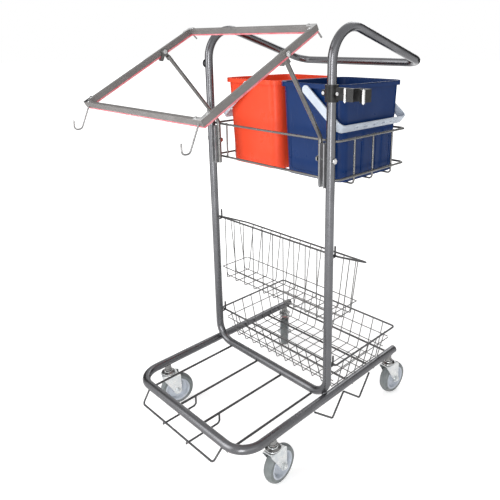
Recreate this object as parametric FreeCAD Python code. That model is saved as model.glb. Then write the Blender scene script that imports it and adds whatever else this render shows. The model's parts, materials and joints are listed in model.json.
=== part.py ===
"""Cleaning cart: a bent-tube trolley on four swivel casters.

It carries a tilted refuse-bag frame at the front, two buckets in a wire rack at hand height,
two lift-off wire baskets below them and a spring clip for a tool handle.

Millimetres. X runs across the cart, Y from the bag frame (front) to the push bar (rear) and
Z up from the floor. Pieces are drawn about the middle plane of the tubes, with Y = 0 in the
plane of the uprights. At the end all are moved so that the origin is on the floor, under the
middle of the whole cart's box.
"""
import FreeCAD, Part
import math
import os

V = FreeCAD.Vector
X_AXIS = V(1, 0, 0)
Y_AXIS = V(0, 1, 0)
Z_AXIS = V(0, 0, 1)

# Clearances
BODY_GAP = 0.3          # between pieces that lie against each other but come apart
RUN_GAP = 0.06          # radial play of a pin in a bore that turns on it
SEAT_GAP = 0.1          # radial play of a plug or bolt in its seat
WELD = 0.35             # depth that crossing wires sink into each other where they are welded

# Main tubes
TUBE_D = 22.0
TUBE_WALL = 1.6
HALF_WIDTH = 220.0      # middle plane to the axis of a side tube
BASE_FRONT = 291.0      # uprights to the axis of the front tube
BASE_REAR = 312.0       # uprights to the open rear ends
BASE_CORNER_R = 58.0
HANDLE_BEND_Z = 994.0   # height at which the uprights start to bend
HANDLE_BEND_R = 78.0
HANDLE_DROP_DEG = 17.0  # fall of the arms towards the push bar
HANDLE_REACH = 377.0    # uprights to the axis of the push bar
HANDLE_CORNER_R = 40.0
HANDLE_JOINT_DROP = 26.0
SPIGOT_LENGTH = 40.0
PLUG_FLANGE = 3.0
PLUG_DEPTH = 18.0

# Casters
WHEEL_D = 95.0
TYRE_WIDTH = 24.0
TYRE_DEPTH = 12.0
TYRE_CROWN = 4.0        # fall of the tread from its middle to its edges
HUB_WIDTH = 26.0
HUB_BOSS_D = 22.0
HUB_RIM = 5.0
HUB_WEB = 6.0
AXLE_D = 8.0
AXLE_HEAD = 4.0
FORK_SHEET = 2.5
FORK_SIDE_GAP = 1.2
FORK_CROWN_GAP = 7.0    # wheel top to the underside of the crown
FORK_CROWN_R = 21.0
FORK_EYE_R = 11.0
FORK_BEND_R = 5.0
CASTER_TRAIL = 21.5
CASTER_FRONT = 196.0    # uprights to the front swivel axes
CASTER_REAR = 288.0
CASTER_TURN_DEG = {"front_left": -21.0, "front_right": 5.0, "rear_left": -137.0, "rear_right": -4.0}
RACE_HEIGHT = 8.0
RACE_R = 19.0
STEM_D = 10.0
STEM_HEAD_D = 16.0
STEM_HEAD = 4.0
NECK_HEIGHT = 16.5      # race cap to the underside of the base tube
NECK_R = 9.0

# Rods under the base
ROD_D = 6.0
FLOOR_ROD_X = (50.0, 167.0)
CROSS_ROD_Y = (110.0, 210.0, 305.0)
ROD_OVERHANG = 2.0
REST_WIRE_D = 5.0
BOW_HALF = 150.0
BOW_TOP_HALF = 156.0
BOW_REACH = 30.0        # front tube axis to the low bar of the bow
BOW_DROP = 37.0
BOW_BEND_R = 9.0
BOW_TOE = 4.0
BOW_ARM_REACH = 69.0    # front tube axis back to the rise of the bow's two arms
SIDE_REST_TOP = 57.0    # uprights to the first peak of the side wire
SIDE_REST_PITCH = 116.5
SIDE_REST_DROP = 55.0
SIDE_REST_REACH = 20.0
SIDE_REST_BEND_R = 5.0

# Bucket rack
RACK_WIRE_D = 6.0
RACK_OUT = 7.0          # axis of an upright to the axis of the rack's side wires
RACK_HALF = HALF_WIDTH + RACK_OUT
RACK_TOP_Z = 816.5
RACK_LOW_Z = 724.0
RACK_REAR = 302.0
RACK_CORNER_R = 14.0
RACK_POST_X = 177.0
HOOP_D = 5.0
HOOP_Y = (88.0, 164.0, 248.0)
HOOP_Z = 702.0          # axis of the wires that the buckets stand on
HOOP_BEND_R = 10.0

# Buckets and their bails
BUCKET_GAP = 2.0        # between the two rims
BUCKET_RIM_IN = 11.0    # outer edge of a rim to the axis of the rack's side wires
BUCKET_RIM_OUT = RACK_HALF - BUCKET_RIM_IN
BUCKET_FRONT = 39.0
BUCKET_REAR = 310.0
BUCKET_TOP_Z = 942.0
BUCKET_WALL = 2.6
BUCKET_RIM_W = 7.5
BUCKET_RIM_H = 11.0
BUCKET_TAPER_X = 4.4
BUCKET_TAPER_Y = 11.0
BUCKET_CORNER_R = 30.0
BUCKET_PANEL_Z = 14.0
BUCKET_PANEL_H = 84.0
BUCKET_PANEL_INSET = 32.0
BUCKET_PANEL_RIB = 12.0 # wall left between the recesses of the long side
BUCKET_PANEL_COUNT = 3
BUCKET_PANEL_DEPTH = 1.0
BUCKET_FOOT_R = 9.0
BUCKET_FOOT_H = 4.0
BAIL_DROP = 15.0        # rim top to the bail's axis
BAIL_SOCKET_R = 9.5
BAIL_PIN_D = 8.0
BAIL_PIN_LENGTH = 5.0
BAIL_T = 4.0
BAIL_W = 21.5
BAIL_INNER_R = 136.0    # bail axis to the inner face of the grip
BAIL_HANG_DEG = 39.0    # fall of the resting bail below level
BAIL_BEND_R = 18.0
BAIL_SLOTS = 5
BAIL_SLOT_L = 18.0
BAIL_SLOT_H = 4.0
BAIL_SLOT_PITCH = 38.0

# Refuse-bag frame, its struts and brackets
BAG_HALF = HALF_WIDTH   # middle plane to the middle of a side bar
BAG_FRONT = 355.0       # uprights to the front bar
BAG_LENGTH = 342.0
BAG_TILT_DEG = 29.0
BAG_PIVOT = 240.7       # front bar to the pivot along a side bar
BAG_PIVOT_Z = 1014.7
BAG_BAR_H = 14.0
BAG_BAR_T = 8.0
BAG_STRIP_H = 4.0
BAG_STRIP_T = 5.0
BAG_PLATE_L = 24.0
BAG_PLATE_T = 1.2
BAG_RIVET_R = 3.0
BAG_RIVET_H = 1.5
BAG_HOOK_D = 3.6
BAG_HOOK_X = 210.0
BAG_HOOK_FALL = 46.0
BAG_HOOK_LEAN = 24.0
BAG_HOOK_MOUTH = 17.0
BAG_HOOK_TIP = 21.0
BAG_HOOK_BEND_R = 8.0
BAG_PEG_D = 4.0
BAG_PEG_L = 20.0
BAG_PEG_FALL_DEG = 43.0
PIVOT_BOLT_D = 6.0
PIVOT_HEAD_R = 5.5
PIVOT_HEAD_H = 3.0
STRUT_D = 10.0
STRUT_INSET = 32.0      # axis of an upright to the axis of its strut
STRUT_X = HALF_WIDTH - STRUT_INSET
STRUT_FOOT_Z = 708.0
STRUT_RISE = 9.5        # upper ring of the rack to the bend of a strut
STRUT_BEND_R = 20.0
LUG_T = 4.0
LUG_R = 9.0
LUG_STOP_REACH = 17.0   # pivot to the stop under the side bar
LUG_STOP_R = 4.0
LUG_STOP_L = 5.0
BRACKET_FOOT_Z = 707.0
BRACKET_H = 105.0
BRACKET_DEPTH = 22.0
BRACKET_SHEET = 2.5
BRACKET_BOLT_Z = 774.0
BRACKET_BOLT_D = 6.0
BOLT_HEAD_R = 6.0
BOLT_HEAD_H = 3.5

# Wire baskets and the hooks that they hang on
HOOK_D = 5.0
HOOK_RISE = 22.0        # rim wire to the tip of a hook
HOOK_BEND_R = 3.0
RIM_FRONT = 18.0        # uprights to the front wire of a rim
RIM_WIRE_D = 5.0
MESH_WIRE_D = 2.6
MESH_BEND_R = 5.0
RIM_CORNER_R = 10.0
TOP_BASKET_OUT = 16.0   # axis of an upright out to the side wire of the rim
TOP_BASKET_RIM_Z = 534.0
TOP_BASKET_REAR = 137.0
TOP_BASKET_REAR_Z = 482.0
TOP_BASKET_FLOOR_Z = 340.0
TOP_BASKET_FLOOR_REAR = 112.0
TOP_BASKET_TAPER = 23.0
TOP_BASKET_RING_Z = 373.0
TOP_BASKET_WIRES = 11
TOP_BASKET_RUNNERS = 3
LOW_BASKET_OUT = 11.0
LOW_BASKET_RIM_Z = 229.0
LOW_BASKET_REAR = 294.0
LOW_BASKET_TAPER_X = 24.0
LOW_BASKET_TAPER_Y = 30.0
LOW_BASKET_WIRES = 12
LOW_BASKET_RUNNERS = 6
LOW_BASKET_COURSES = 2

# Tool clip on the right upright and stud on the left one
CLIP_Z = 908.5
CLIP_H = 38.0
CLIP_BAND_T = 4.5
CLIP_SPLIT = 1.0
CLIP_EAR_W = 10.0
CLIP_EAR_T = 4.0
CLIP_EAR_H = 14.0
CLIP_SCREW_D = 4.0
CLIP_NECK = 45.0        # clamp band to the side of the jaws
CLIP_BORE_R = 12.5
CLIP_WALL = 5.0
CLIP_BACK = 5.0         # floor of the jaws behind the bore
CLIP_JAW_H = 28.0
CLIP_MOUTH = 17.0
CLIP_LIP = 8.0          # reach of the flared lips
CLIP_LIP_FLARE = 9.5
CLIP_ROLLER_R = 3.6
CLIP_ROLLER_PIN_R = 1.5
CLIP_ROLLER_PIN = 2.0   # ends of a roller's pin above and below it
STUD_R = 12.0
STUD_H = 4.0
STUD_STEP = 3.0         # head of the stud beyond its neck
STUD_NECK = 1.0         # upright to the underside of the stud's head
STUD_EDGE = 1.5

# Heights and places worked out from the sizes above
TUBE_R = TUBE_D / 2
WHEEL_R = WHEEL_D / 2
CROWN_Z = WHEEL_D + FORK_CROWN_GAP
RACE_Z = CROWN_Z + FORK_SHEET + BODY_GAP
NECK_Z = RACE_Z + RACE_HEIGHT
BASE_Z = NECK_Z + NECK_HEIGHT + TUBE_R
ROD_Z = BASE_Z - TUBE_R - ROD_D / 2
UPRIGHT_FOOT_R = TUBE_D / (math.sqrt(2) - 1)
HANDLE_TURN = math.radians(90 + HANDLE_DROP_DEG)
HANDLE_APEX_Z = HANDLE_BEND_Z + HANDLE_BEND_R * math.tan(HANDLE_TURN / 2)
PUSH_BAR_Z = HANDLE_APEX_Z - HANDLE_REACH * math.tan(math.radians(HANDLE_DROP_DEG))
HANDLE_JOINT_Z = HANDLE_BEND_Z - HANDLE_JOINT_DROP
SPIGOT_R = TUBE_R - TUBE_WALL - SEAT_GAP
RACK_FRONT = TUBE_R + RACK_WIRE_D / 2
STRUT_BEND_Z = RACK_TOP_Z + STRUT_RISE
BUCKET_FLOOR_Z = HOOP_Z + HOOP_D / 2 + BODY_GAP
BUCKET_MID_X = (BUCKET_GAP / 2 + BUCKET_RIM_OUT) / 2
BUCKET_MID_Y = (BUCKET_FRONT + BUCKET_REAR) / 2
BUCKET_HALF_X = BUCKET_RIM_OUT - BUCKET_MID_X - BUCKET_RIM_W
BUCKET_HALF_Y = BUCKET_REAR - BUCKET_MID_Y - BUCKET_RIM_W
BAIL_X = BUCKET_MID_X
BAIL_Z = BUCKET_TOP_Z - BAIL_DROP
BAIL_HALF_Y = BUCKET_REAR - BUCKET_MID_Y + BODY_GAP
BAG_TILT = math.radians(BAG_TILT_DEG)
BAG_PIVOT_Y = BAG_PIVOT * math.cos(BAG_TILT) - BAG_FRONT
BAG_FACE = (BAG_BAR_H + BAG_STRIP_H) / 2
HOOK_SEAT = RIM_WIRE_D / 2 + BODY_GAP + HOOK_D / 2
TOP_BASKET_HALF = HALF_WIDTH + TOP_BASKET_OUT
TOP_BASKET_END_X = TOP_BASKET_HALF - TOP_BASKET_TAPER
LOW_BASKET_HALF = HALF_WIDTH + LOW_BASKET_OUT
CLIP_BAND_R = TUBE_R + CLIP_BAND_T
CLIP_JAW_HALF = CLIP_BORE_R + CLIP_WALL
CLIP_SIDE_X = HALF_WIDTH + CLIP_BAND_R + CLIP_NECK
CLIP_BORE_X = CLIP_SIDE_X + CLIP_JAW_HALF
CLIP_JAW_Z = CLIP_Z + (CLIP_H - CLIP_JAW_H) / 2
LOW_BASKET_FLOOR_Z = ROD_Z + ROD_D / 2 + BODY_GAP + MESH_WIRE_D / 2
CASTERS = {
    "front_left": (-HALF_WIDTH, -CASTER_FRONT),
    "front_right": (HALF_WIDTH, -CASTER_FRONT),
    "rear_left": (-HALF_WIDTH, CASTER_REAR),
    "rear_right": (HALF_WIDTH, CASTER_REAR),
}


# Drawing helpers

def bent_path(points, bend):
    """A wire through the points, with every inner corner rounded to the bend radius."""
    edges = []
    start = points[0]
    for before, corner, after in zip(points, points[1:], points[2:]):
        into = (corner - before).normalize()
        out = (after - corner).normalize()
        turn = into.getAngle(out)
        reach = bend * math.tan(turn / 2)
        first = corner - into * reach
        last = corner + out * reach
        middle = corner + (out - into).normalize() * (bend / math.cos(turn / 2) - bend)
        if (first - start).Length > 1e-6:
            edges.append(Part.LineSegment(start, first).toShape())
        edges.append(Part.Arc(first, middle, last).toShape())
        start = last
    if (points[-1] - start).Length > 1e-6:
        edges.append(Part.LineSegment(start, points[-1]).toShape())
    return Part.Wire(edges)


def bent_bar(points, bend, diameter):
    """A round bar bent along the points."""
    path = bent_path(points, bend)
    section = Part.Wire(Part.makeCircle(diameter / 2, points[0], points[1] - points[0]))
    return path.makePipeShell([section], True, False)


def bent_ring(corners, bend, diameter):
    """A closed ring of round bar with rounded corners."""
    start = (corners[0] + corners[-1]) * 0.5
    return bent_bar([start] + list(corners) + [start], bend, diameter)


def straight_bar(start, end, diameter):
    """A straight round bar between two points."""
    return Part.makeCylinder(diameter / 2, (end - start).Length, start, end - start)


def welded(pieces):
    """One solid of pieces that sink into each other at their welds."""
    joined = pieces[0].multiFuse(pieces[1:])
    return joined.Solids[0]


def both_sides(shape):
    """The piece and its mirror image on the other side of the middle plane."""
    return [shape, left_of(shape)]


def left_of(shape):
    """The mirror image of a right-hand piece."""
    return shape.mirror(V(0, 0, 0), X_AXIS)


def group(pieces):
    """Separate solids kept in one node."""
    return Part.makeCompound(pieces)


def block(x0, x1, y0, y1, z0, z1):
    """A box between two corners."""
    return Part.makeBox(x1 - x0, y1 - y0, z1 - z0, V(x0, y0, z0))


def rounded_outline(mid, half_x, half_y, corner):
    """A level rectangle with rounded corners, as a closed wire."""
    points = []
    for sx, sy in ((1, -1), (1, 1), (-1, 1), (-1, -1)):
        points.append(mid + V(sx * half_x, sy * half_y, 0))
    start = (points[0] + points[-1]) * 0.5
    return bent_path([start] + points + [start], corner)


def prism(points, direction):
    """A straight prism on a flat outline."""
    outline = Part.makePolygon(list(points) + [points[0]])
    return Part.Face(outline).extrude(direction)


def turned(profile, origin, axis):
    """A solid of revolution of a closed outline of points."""
    outline = Part.makePolygon(list(profile) + [profile[0]])
    return Part.Face(outline).revolve(origin, axis, 360)


def spread(count, half):
    """Evenly spaced places from minus half to plus half."""
    return [-half + 2 * half * index / (count - 1) for index in range(count)]


def between(start, end, share):
    """The point at a share of the way from start to end."""
    return start + (end - start) * share


# Tube frame

def base_tube():
    """The U-shaped base, open at the rear, bored for its end plugs and caster stems."""
    points = [
        V(-HALF_WIDTH, BASE_REAR, BASE_Z),
        V(-HALF_WIDTH, -BASE_FRONT, BASE_Z),
        V(HALF_WIDTH, -BASE_FRONT, BASE_Z),
        V(HALF_WIDTH, BASE_REAR, BASE_Z),
    ]
    tube = bent_bar(points, BASE_CORNER_R, TUBE_D)
    for side in (-1, 1):
        mouth = V(side * HALF_WIDTH, BASE_REAR, BASE_Z)
        tube = tube.cut(Part.makeCylinder(TUBE_R - TUBE_WALL, PLUG_DEPTH + 1, mouth, -Y_AXIS))
    for x, y in CASTERS.values():
        seat = V(x, y, BASE_Z - TUBE_R - 1)
        tube = tube.cut(Part.makeCylinder(STEM_D / 2 + SEAT_GAP, TUBE_R + 1, seat, Z_AXIS))
    return tube


def end_plugs():
    """Plastic plugs in the rear ends of the base."""
    radius = TUBE_R - TUBE_WALL - SEAT_GAP
    right = turned([
        V(0, -PLUG_DEPTH, 0), V(radius, -PLUG_DEPTH, 0), V(radius, 0, 0), V(TUBE_R, 0, 0),
        V(TUBE_R, PLUG_FLANGE / 2, 0), V(TUBE_R - PLUG_FLANGE / 2, PLUG_FLANGE, 0), V(0, PLUG_FLANGE, 0),
    ], V(0, 0, 0), Y_AXIS)
    right.translate(V(HALF_WIDTH, BASE_REAR, BASE_Z))
    return group(both_sides(right))


def upright_frame():
    """The bottom bar and both uprights, bent from one tube and bored for the handle."""
    points = [
        V(-HALF_WIDTH, 0, HANDLE_JOINT_Z),
        V(-HALF_WIDTH, 0, BASE_Z),
        V(HALF_WIDTH, 0, BASE_Z),
        V(HALF_WIDTH, 0, HANDLE_JOINT_Z),
    ]
    frame = bent_bar(points, UPRIGHT_FOOT_R, TUBE_D)
    for side in (-1, 1):
        mouth = V(side * HALF_WIDTH, 0, HANDLE_JOINT_Z)
        frame = frame.cut(Part.makeCylinder(TUBE_R - TUBE_WALL, SPIGOT_LENGTH + 1, mouth, -Z_AXIS))
        bolt = V(side * (HALF_WIDTH - TUBE_R - 1), 0, BRACKET_BOLT_Z)
        radius = BRACKET_BOLT_D / 2 + SEAT_GAP
        frame = frame.cut(Part.makeCylinder(radius, TUBE_D + 2, bolt, X_AXIS * side))
    return frame


def push_handle():
    """The arms and push bar, bent from one tube whose ends plug into the uprights."""
    points = [
        V(-HALF_WIDTH, 0, HANDLE_JOINT_Z),
        V(-HALF_WIDTH, 0, HANDLE_APEX_Z),
        V(-HALF_WIDTH, HANDLE_REACH, PUSH_BAR_Z),
        V(HALF_WIDTH, HANDLE_REACH, PUSH_BAR_Z),
        V(HALF_WIDTH, 0, HANDLE_APEX_Z),
        V(HALF_WIDTH, 0, HANDLE_JOINT_Z),
    ]
    middle = (points[2] + points[3]) * 0.5
    halves = []
    for run in (points[:3], points[:2:-1]):
        arm = [run[0], run[1]]
        rise = (run[2] - run[1]).normalize()
        turn_out = run[2] - rise * HANDLE_CORNER_R
        lower = bent_bar(arm + [turn_out], HANDLE_BEND_R, TUBE_D)
        corner = bent_bar([turn_out, run[2], middle], HANDLE_CORNER_R, TUBE_D)
        spigot = Part.makeCylinder(SPIGOT_R, SPIGOT_LENGTH, run[0], -Z_AXIS)
        halves += [lower, corner, spigot]
    return welded(halves)


def strap_stud():
    """The low round stud on the outer face of the left upright."""
    neck = STUD_R - STUD_STEP
    face = TUBE_R + STUD_H
    stud = turned([
        V(0, 0, 0), V(0, neck, 0), V(TUBE_R + STUD_NECK, neck, 0), V(TUBE_R + STUD_NECK, STUD_R, 0),
        V(face - STUD_EDGE, STUD_R, 0), V(face, STUD_R - STUD_EDGE, 0), V(face, 0, 0),
    ], V(0, 0, 0), X_AXIS)
    tube = Part.makeCylinder(TUBE_R, 4 * STUD_R, V(0, 0, -2 * STUD_R), Z_AXIS)
    stud = stud.cut(tube).Solids[-1]
    stud.translate(V(HALF_WIDTH, 0, HANDLE_BEND_Z - STUD_R))
    return left_of(stud)


# Rods and rests under the base

def floor_rods():
    """The four rods that a bag stands on, under the front tube and the bottom bar."""
    rods = []
    for x in FLOOR_ROD_X:
        start = V(x, -BASE_FRONT - ROD_OVERHANG, ROD_Z)
        rods += both_sides(straight_bar(start, V(x, ROD_OVERHANG, ROD_Z), ROD_D))
    return group(rods)


def cross_rods():
    """The rods under the side tubes that carry the lower basket."""
    reach = HALF_WIDTH + ROD_OVERHANG
    return group([straight_bar(V(-reach, y, ROD_Z), V(reach, y, ROD_Z), ROD_D) for y in CROSS_ROD_Y])


def front_rest(tube):
    """The bow below the front tube, its ends coped to the tube."""
    low = V(BOW_HALF, -BASE_FRONT - BOW_REACH, BASE_Z - BOW_DROP)
    top = V(BOW_TOP_HALF, -BASE_FRONT, BASE_Z)
    points = [V(-top.x, top.y, top.z), V(-low.x, low.y, low.z), low, top]
    bow = bent_bar(points, BOW_BEND_R, REST_WIRE_D).cut(tube)
    return max(bow.Solids, key=lambda solid: solid.Volume)


def front_rest_arms(rods):
    """Two wires from under the bow back to the inner floor rods."""
    x = FLOOR_ROD_X[0]
    z = BASE_Z - BOW_DROP - REST_WIRE_D
    rise_y = BOW_ARM_REACH - BASE_FRONT
    points = [V(x, -BASE_FRONT - BOW_REACH - BOW_TOE, z), V(x, rise_y, z), V(x, rise_y, ROD_Z)]
    arm = bent_bar(points, BOW_BEND_R, REST_WIRE_D).cut(rods)
    return group(both_sides(max(arm.Solids, key=lambda solid: solid.Volume)))


def side_rest():
    """The zigzag wire below the right-hand side tube."""
    lean = (TUBE_D + REST_WIRE_D) / 2 / math.sqrt(2)
    points = []
    for index in range(5):
        y = index * SIDE_REST_PITCH / 2 - SIDE_REST_TOP
        low = index % 2
        x = HALF_WIDTH + (SIDE_REST_REACH if low else lean)
        z = BASE_Z - (SIDE_REST_DROP if low else lean)
        points.append(V(x, y, z))
    return bent_bar(points, SIDE_REST_BEND_R, REST_WIRE_D)


# Bucket rack

def rack_ring(z):
    """One level ring of the rack, its front wire against the uprights."""
    corners = []
    for x, y in ((1, RACK_FRONT), (1, RACK_REAR), (-1, RACK_REAR), (-1, RACK_FRONT)):
        corners.append(V(x * RACK_HALF, y, z))
    return bent_ring(corners, RACK_CORNER_R, RACK_WIRE_D)


def rack_hoops():
    """Wires that hang inside the rings and pass under the buckets."""
    x = RACK_HALF - (RACK_WIRE_D + HOOP_D) / 2
    hoops = []
    for y in HOOP_Y:
        points = [V(-x, y, RACK_TOP_Z), V(-x, y, HOOP_Z), V(x, y, HOOP_Z), V(x, y, RACK_TOP_Z)]
        hoops.append(bent_bar(points, HOOP_BEND_R, HOOP_D))
    return group(hoops)


def rack_posts():
    """Upright wires between the front wires of the two rings."""
    y = RACK_FRONT + (RACK_WIRE_D + HOOP_D) / 2
    start = V(RACK_POST_X, y, RACK_LOW_Z - RACK_WIRE_D / 2)
    return group(both_sides(straight_bar(start, V(RACK_POST_X, y, RACK_TOP_Z + RACK_WIRE_D / 2), HOOP_D)))


# Buckets

def bucket_shell(shrink, bottom, top):
    """A tapered solid of the bucket's form, smaller all round by the shrink."""
    height = BUCKET_TOP_Z - BUCKET_FLOOR_Z
    wires = []
    for z in (bottom, top):
        fall = (BUCKET_TOP_Z - z) / height
        mid = V(BUCKET_MID_X, BUCKET_MID_Y, z)
        half_x = BUCKET_HALF_X - BUCKET_TAPER_X * fall - shrink
        half_y = BUCKET_HALF_Y - BUCKET_TAPER_Y * fall - shrink
        wires.append(rounded_outline(mid, half_x, half_y, BUCKET_CORNER_R - shrink))
    return Part.makeLoft(wires, True, True)


def bucket_rim():
    """The outward rim with its downward lip."""
    half_x = BUCKET_HALF_X + BUCKET_RIM_W
    half_y = BUCKET_HALF_Y + BUCKET_RIM_W
    mid = V(BUCKET_MID_X, BUCKET_MID_Y, BUCKET_TOP_Z - BUCKET_RIM_H)
    outline = rounded_outline(mid, half_x, half_y, BUCKET_CORNER_R + BUCKET_RIM_W)
    rim = Part.Face(outline).extrude(V(0, 0, BUCKET_RIM_H))
    lip = BUCKET_RIM_W - BUCKET_WALL / 2
    corner = BUCKET_CORNER_R + BUCKET_RIM_W - lip / 2
    groove = rounded_outline(mid, half_x - lip / 2, half_y - lip / 2, corner)
    return rim.cut(Part.Face(groove).extrude(V(0, 0, BUCKET_RIM_H - BUCKET_WALL)))


def bucket_panel(toward, count):
    """Shallow recesses side by side low on one wall, leaning with the wall."""
    along_x = abs(toward.x) > 0.5
    taper = BUCKET_TAPER_X if along_x else BUCKET_TAPER_Y
    half = BUCKET_HALF_X if along_x else BUCKET_HALF_Y
    width = (BUCKET_HALF_Y - BUCKET_TAPER_Y if along_x else BUCKET_HALF_X) - BUCKET_PANEL_INSET
    lean = math.atan2(taper, BUCKET_TOP_Z - BUCKET_FLOOR_Z)
    face = half - taper
    pitch = (2 * width + BUCKET_PANEL_RIB) / count
    reach = (pitch - BUCKET_PANEL_RIB) / 2
    recesses = []
    for index in range(count):
        mid = (index - (count - 1) / 2) * pitch
        recess = block(-BUCKET_PANEL_DEPTH, BUCKET_PANEL_H, mid - reach, mid + reach, 0, BUCKET_PANEL_H)
        corners = [edge for edge in recess.Edges if abs(edge.tangentAt(edge.FirstParameter).x) > 0.9]
        recesses.append(recess.makeFillet(BUCKET_PANEL_DEPTH * 6, corners))
    cutter = group(recesses)
    cutter.rotate(V(0, 0, 0), Y_AXIS, math.degrees(lean))
    cutter.translate(V(face + BUCKET_PANEL_Z * math.tan(lean), 0, BUCKET_FLOOR_Z + BUCKET_PANEL_Z))
    cutter.rotate(V(0, 0, 0), Z_AXIS, math.degrees(math.atan2(toward.y, toward.x)))
    cutter.translate(V(BUCKET_MID_X, BUCKET_MID_Y, 0))
    return cutter


def bucket():
    """The right-hand bucket: tapered shell, lipped rim, bail sockets, recesses and feet."""
    shape = bucket_shell(0, BUCKET_FLOOR_Z, BUCKET_TOP_Z)
    shape = shape.fuse(bucket_rim())
    socket_len = BUCKET_REAR - BUCKET_MID_Y
    middle = V(BAIL_X, BUCKET_MID_Y, BAIL_Z)
    for toward in (-1, 1):
        shape = shape.fuse(Part.makeCylinder(BAIL_SOCKET_R, socket_len, middle, Y_AXIS * toward))
    shape = shape.cut(bucket_shell(BUCKET_WALL, BUCKET_FLOOR_Z + BUCKET_WALL, BUCKET_TOP_Z + 1))
    for toward in (-1, 1):
        end = middle + Y_AXIS * toward * (socket_len + 1)
        depth = BAIL_PIN_LENGTH + 2 * BODY_GAP + 1
        shape = shape.cut(Part.makeCylinder(BAIL_PIN_D / 2 + RUN_GAP, depth, end, Y_AXIS * -toward))
    for toward, count in ((X_AXIS, BUCKET_PANEL_COUNT), (Y_AXIS, 1), (-Y_AXIS, 1)):
        shape = shape.cut(bucket_panel(toward, count))
    feet = []
    for first, last in zip(HOOP_Y, HOOP_Y[1:]):
        for side in (-1, 1):
            x = BUCKET_MID_X + side * (BUCKET_HALF_X - BUCKET_TAPER_X - BUCKET_CORNER_R)
            foot = V(x, (first + last) / 2, BUCKET_FLOOR_Z)
            feet.append(Part.makeCone(BUCKET_FOOT_R, BUCKET_FOOT_R - 2, BUCKET_FOOT_H, foot, -Z_AXIS))
    shape = shape.multiFuse(feet)
    return max(shape.Solids, key=lambda solid: solid.Volume)


def bail():
    """The right-hand bail: a strap bent to a U, with pins at its ends and slots in its grip."""
    half = BAIL_HALF_Y + BAIL_T
    reach = BAIL_INNER_R + BAIL_T
    end_r = BAIL_W / 2
    points = [V(0, -half, 0), V(reach, -half, 0), V(reach, half, 0), V(0, half, 0)]
    outer = bent_path(points, BAIL_BEND_R)
    inner_points = [V(0, half - BAIL_T, 0), V(BAIL_INNER_R, half - BAIL_T, 0)]
    inner_points += [V(BAIL_INNER_R, BAIL_T - half, 0), V(0, BAIL_T - half, 0)]
    inner = bent_path(inner_points, BAIL_BEND_R - BAIL_T)
    ends = [Part.LineSegment(points[3], inner_points[0]).toShape()]
    ends += [Part.LineSegment(inner_points[3], points[0]).toShape()]
    outline = Part.Wire(outer.Edges + ends[:1] + inner.Edges + ends[1:])
    strap = Part.Face(outline).extrude(V(0, 0, BAIL_W))
    strap.translate(V(0, 0, -end_r))
    pieces = []
    for side in (-1, 1):
        face = V(0, side * half, 0)
        pieces.append(Part.makeCylinder(end_r, BAIL_T, face, Y_AXIS * -side))
        inner_face = V(0, side * BAIL_HALF_Y, 0)
        pieces.append(Part.makeCylinder(BAIL_PIN_D / 2, BAIL_PIN_LENGTH, inner_face, Y_AXIS * -side))
    shape = strap.multiFuse(pieces)
    for y in spread(BAIL_SLOTS, BAIL_SLOT_PITCH * (BAIL_SLOTS - 1) / 2):
        run = (BAIL_SLOT_L - BAIL_SLOT_H) / 2
        slot = block(BAIL_INNER_R - 1, reach + 1, y - run, y + run, -BAIL_SLOT_H / 2, BAIL_SLOT_H / 2)
        for end in (-run, run):
            rounding = V(BAIL_INNER_R - 1, y + end, 0)
            slot = slot.fuse(Part.makeCylinder(BAIL_SLOT_H / 2, BAIL_T + 2, rounding, X_AXIS))
        shape = shape.cut(slot)
    shape = shape.Solids[0]
    shape.rotate(V(0, 0, 0), Y_AXIS, BAIL_HANG_DEG)
    shape.translate(V(BAIL_X, BUCKET_MID_Y, BAIL_Z))
    return shape


# Refuse-bag frame

def tilted(shape):
    """Turn a piece drawn level about the pivot to the bag frame's slope."""
    shape.rotate(V(0, 0, 0), X_AXIS, BAG_TILT_DEG)
    shape.translate(V(0, BAG_PIVOT_Y, BAG_PIVOT_Z))
    return shape


def bag_bars():
    """Two side bars and two cross bars of flat tube, butted at the corners."""
    rear = BAG_LENGTH - BAG_PIVOT
    low = BAG_FACE - BAG_BAR_H
    half_t = BAG_BAR_T / 2
    side = block(BAG_HALF - half_t, BAG_HALF + half_t, -BAG_PIVOT - half_t, rear + half_t, low, BAG_FACE)
    bolt = V(BAG_HALF - BAG_BAR_T, 0, 0)
    side = side.cut(Part.makeCylinder(PIVOT_BOLT_D / 2 + RUN_GAP, 2 * BAG_BAR_T, bolt, X_AXIS))
    edges = [edge for edge in side.Edges if edge.Length > BAG_LENGTH * 0.9]
    side = side.makeFillet(BAG_BAR_T / 5, edges)
    bars = both_sides(side)
    for y in (-BAG_PIVOT, rear):
        bar = block(half_t - BAG_HALF, BAG_HALF - half_t, y - half_t, y + half_t, low, BAG_FACE)
        edges = [edge for edge in bar.Edges if edge.Length > BAG_HALF]
        bars.append(bar.makeFillet(BAG_BAR_T / 5, edges))
    return group([tilted(bar) for bar in bars])


def bag_strips():
    """The soft edge strips under the four bars."""
    rear = BAG_LENGTH - BAG_PIVOT
    top = BAG_FACE - BAG_BAR_H
    half_t = BAG_STRIP_T / 2
    side = block(BAG_HALF - half_t, BAG_HALF + half_t, -BAG_PIVOT - half_t, rear + half_t, -BAG_FACE, top)
    bore = V(BAG_HALF - BAG_BAR_T, 0, 0)
    side = side.cut(Part.makeCylinder(PIVOT_BOLT_D / 2 + RUN_GAP, 2 * BAG_BAR_T, bore, X_AXIS))
    strips = both_sides(side)
    for y in (-BAG_PIVOT, rear):
        strips.append(block(half_t - BAG_HALF, BAG_HALF - half_t, y - half_t, y + half_t, -BAG_FACE, top))
    return group([tilted(strip) for strip in strips])


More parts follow.
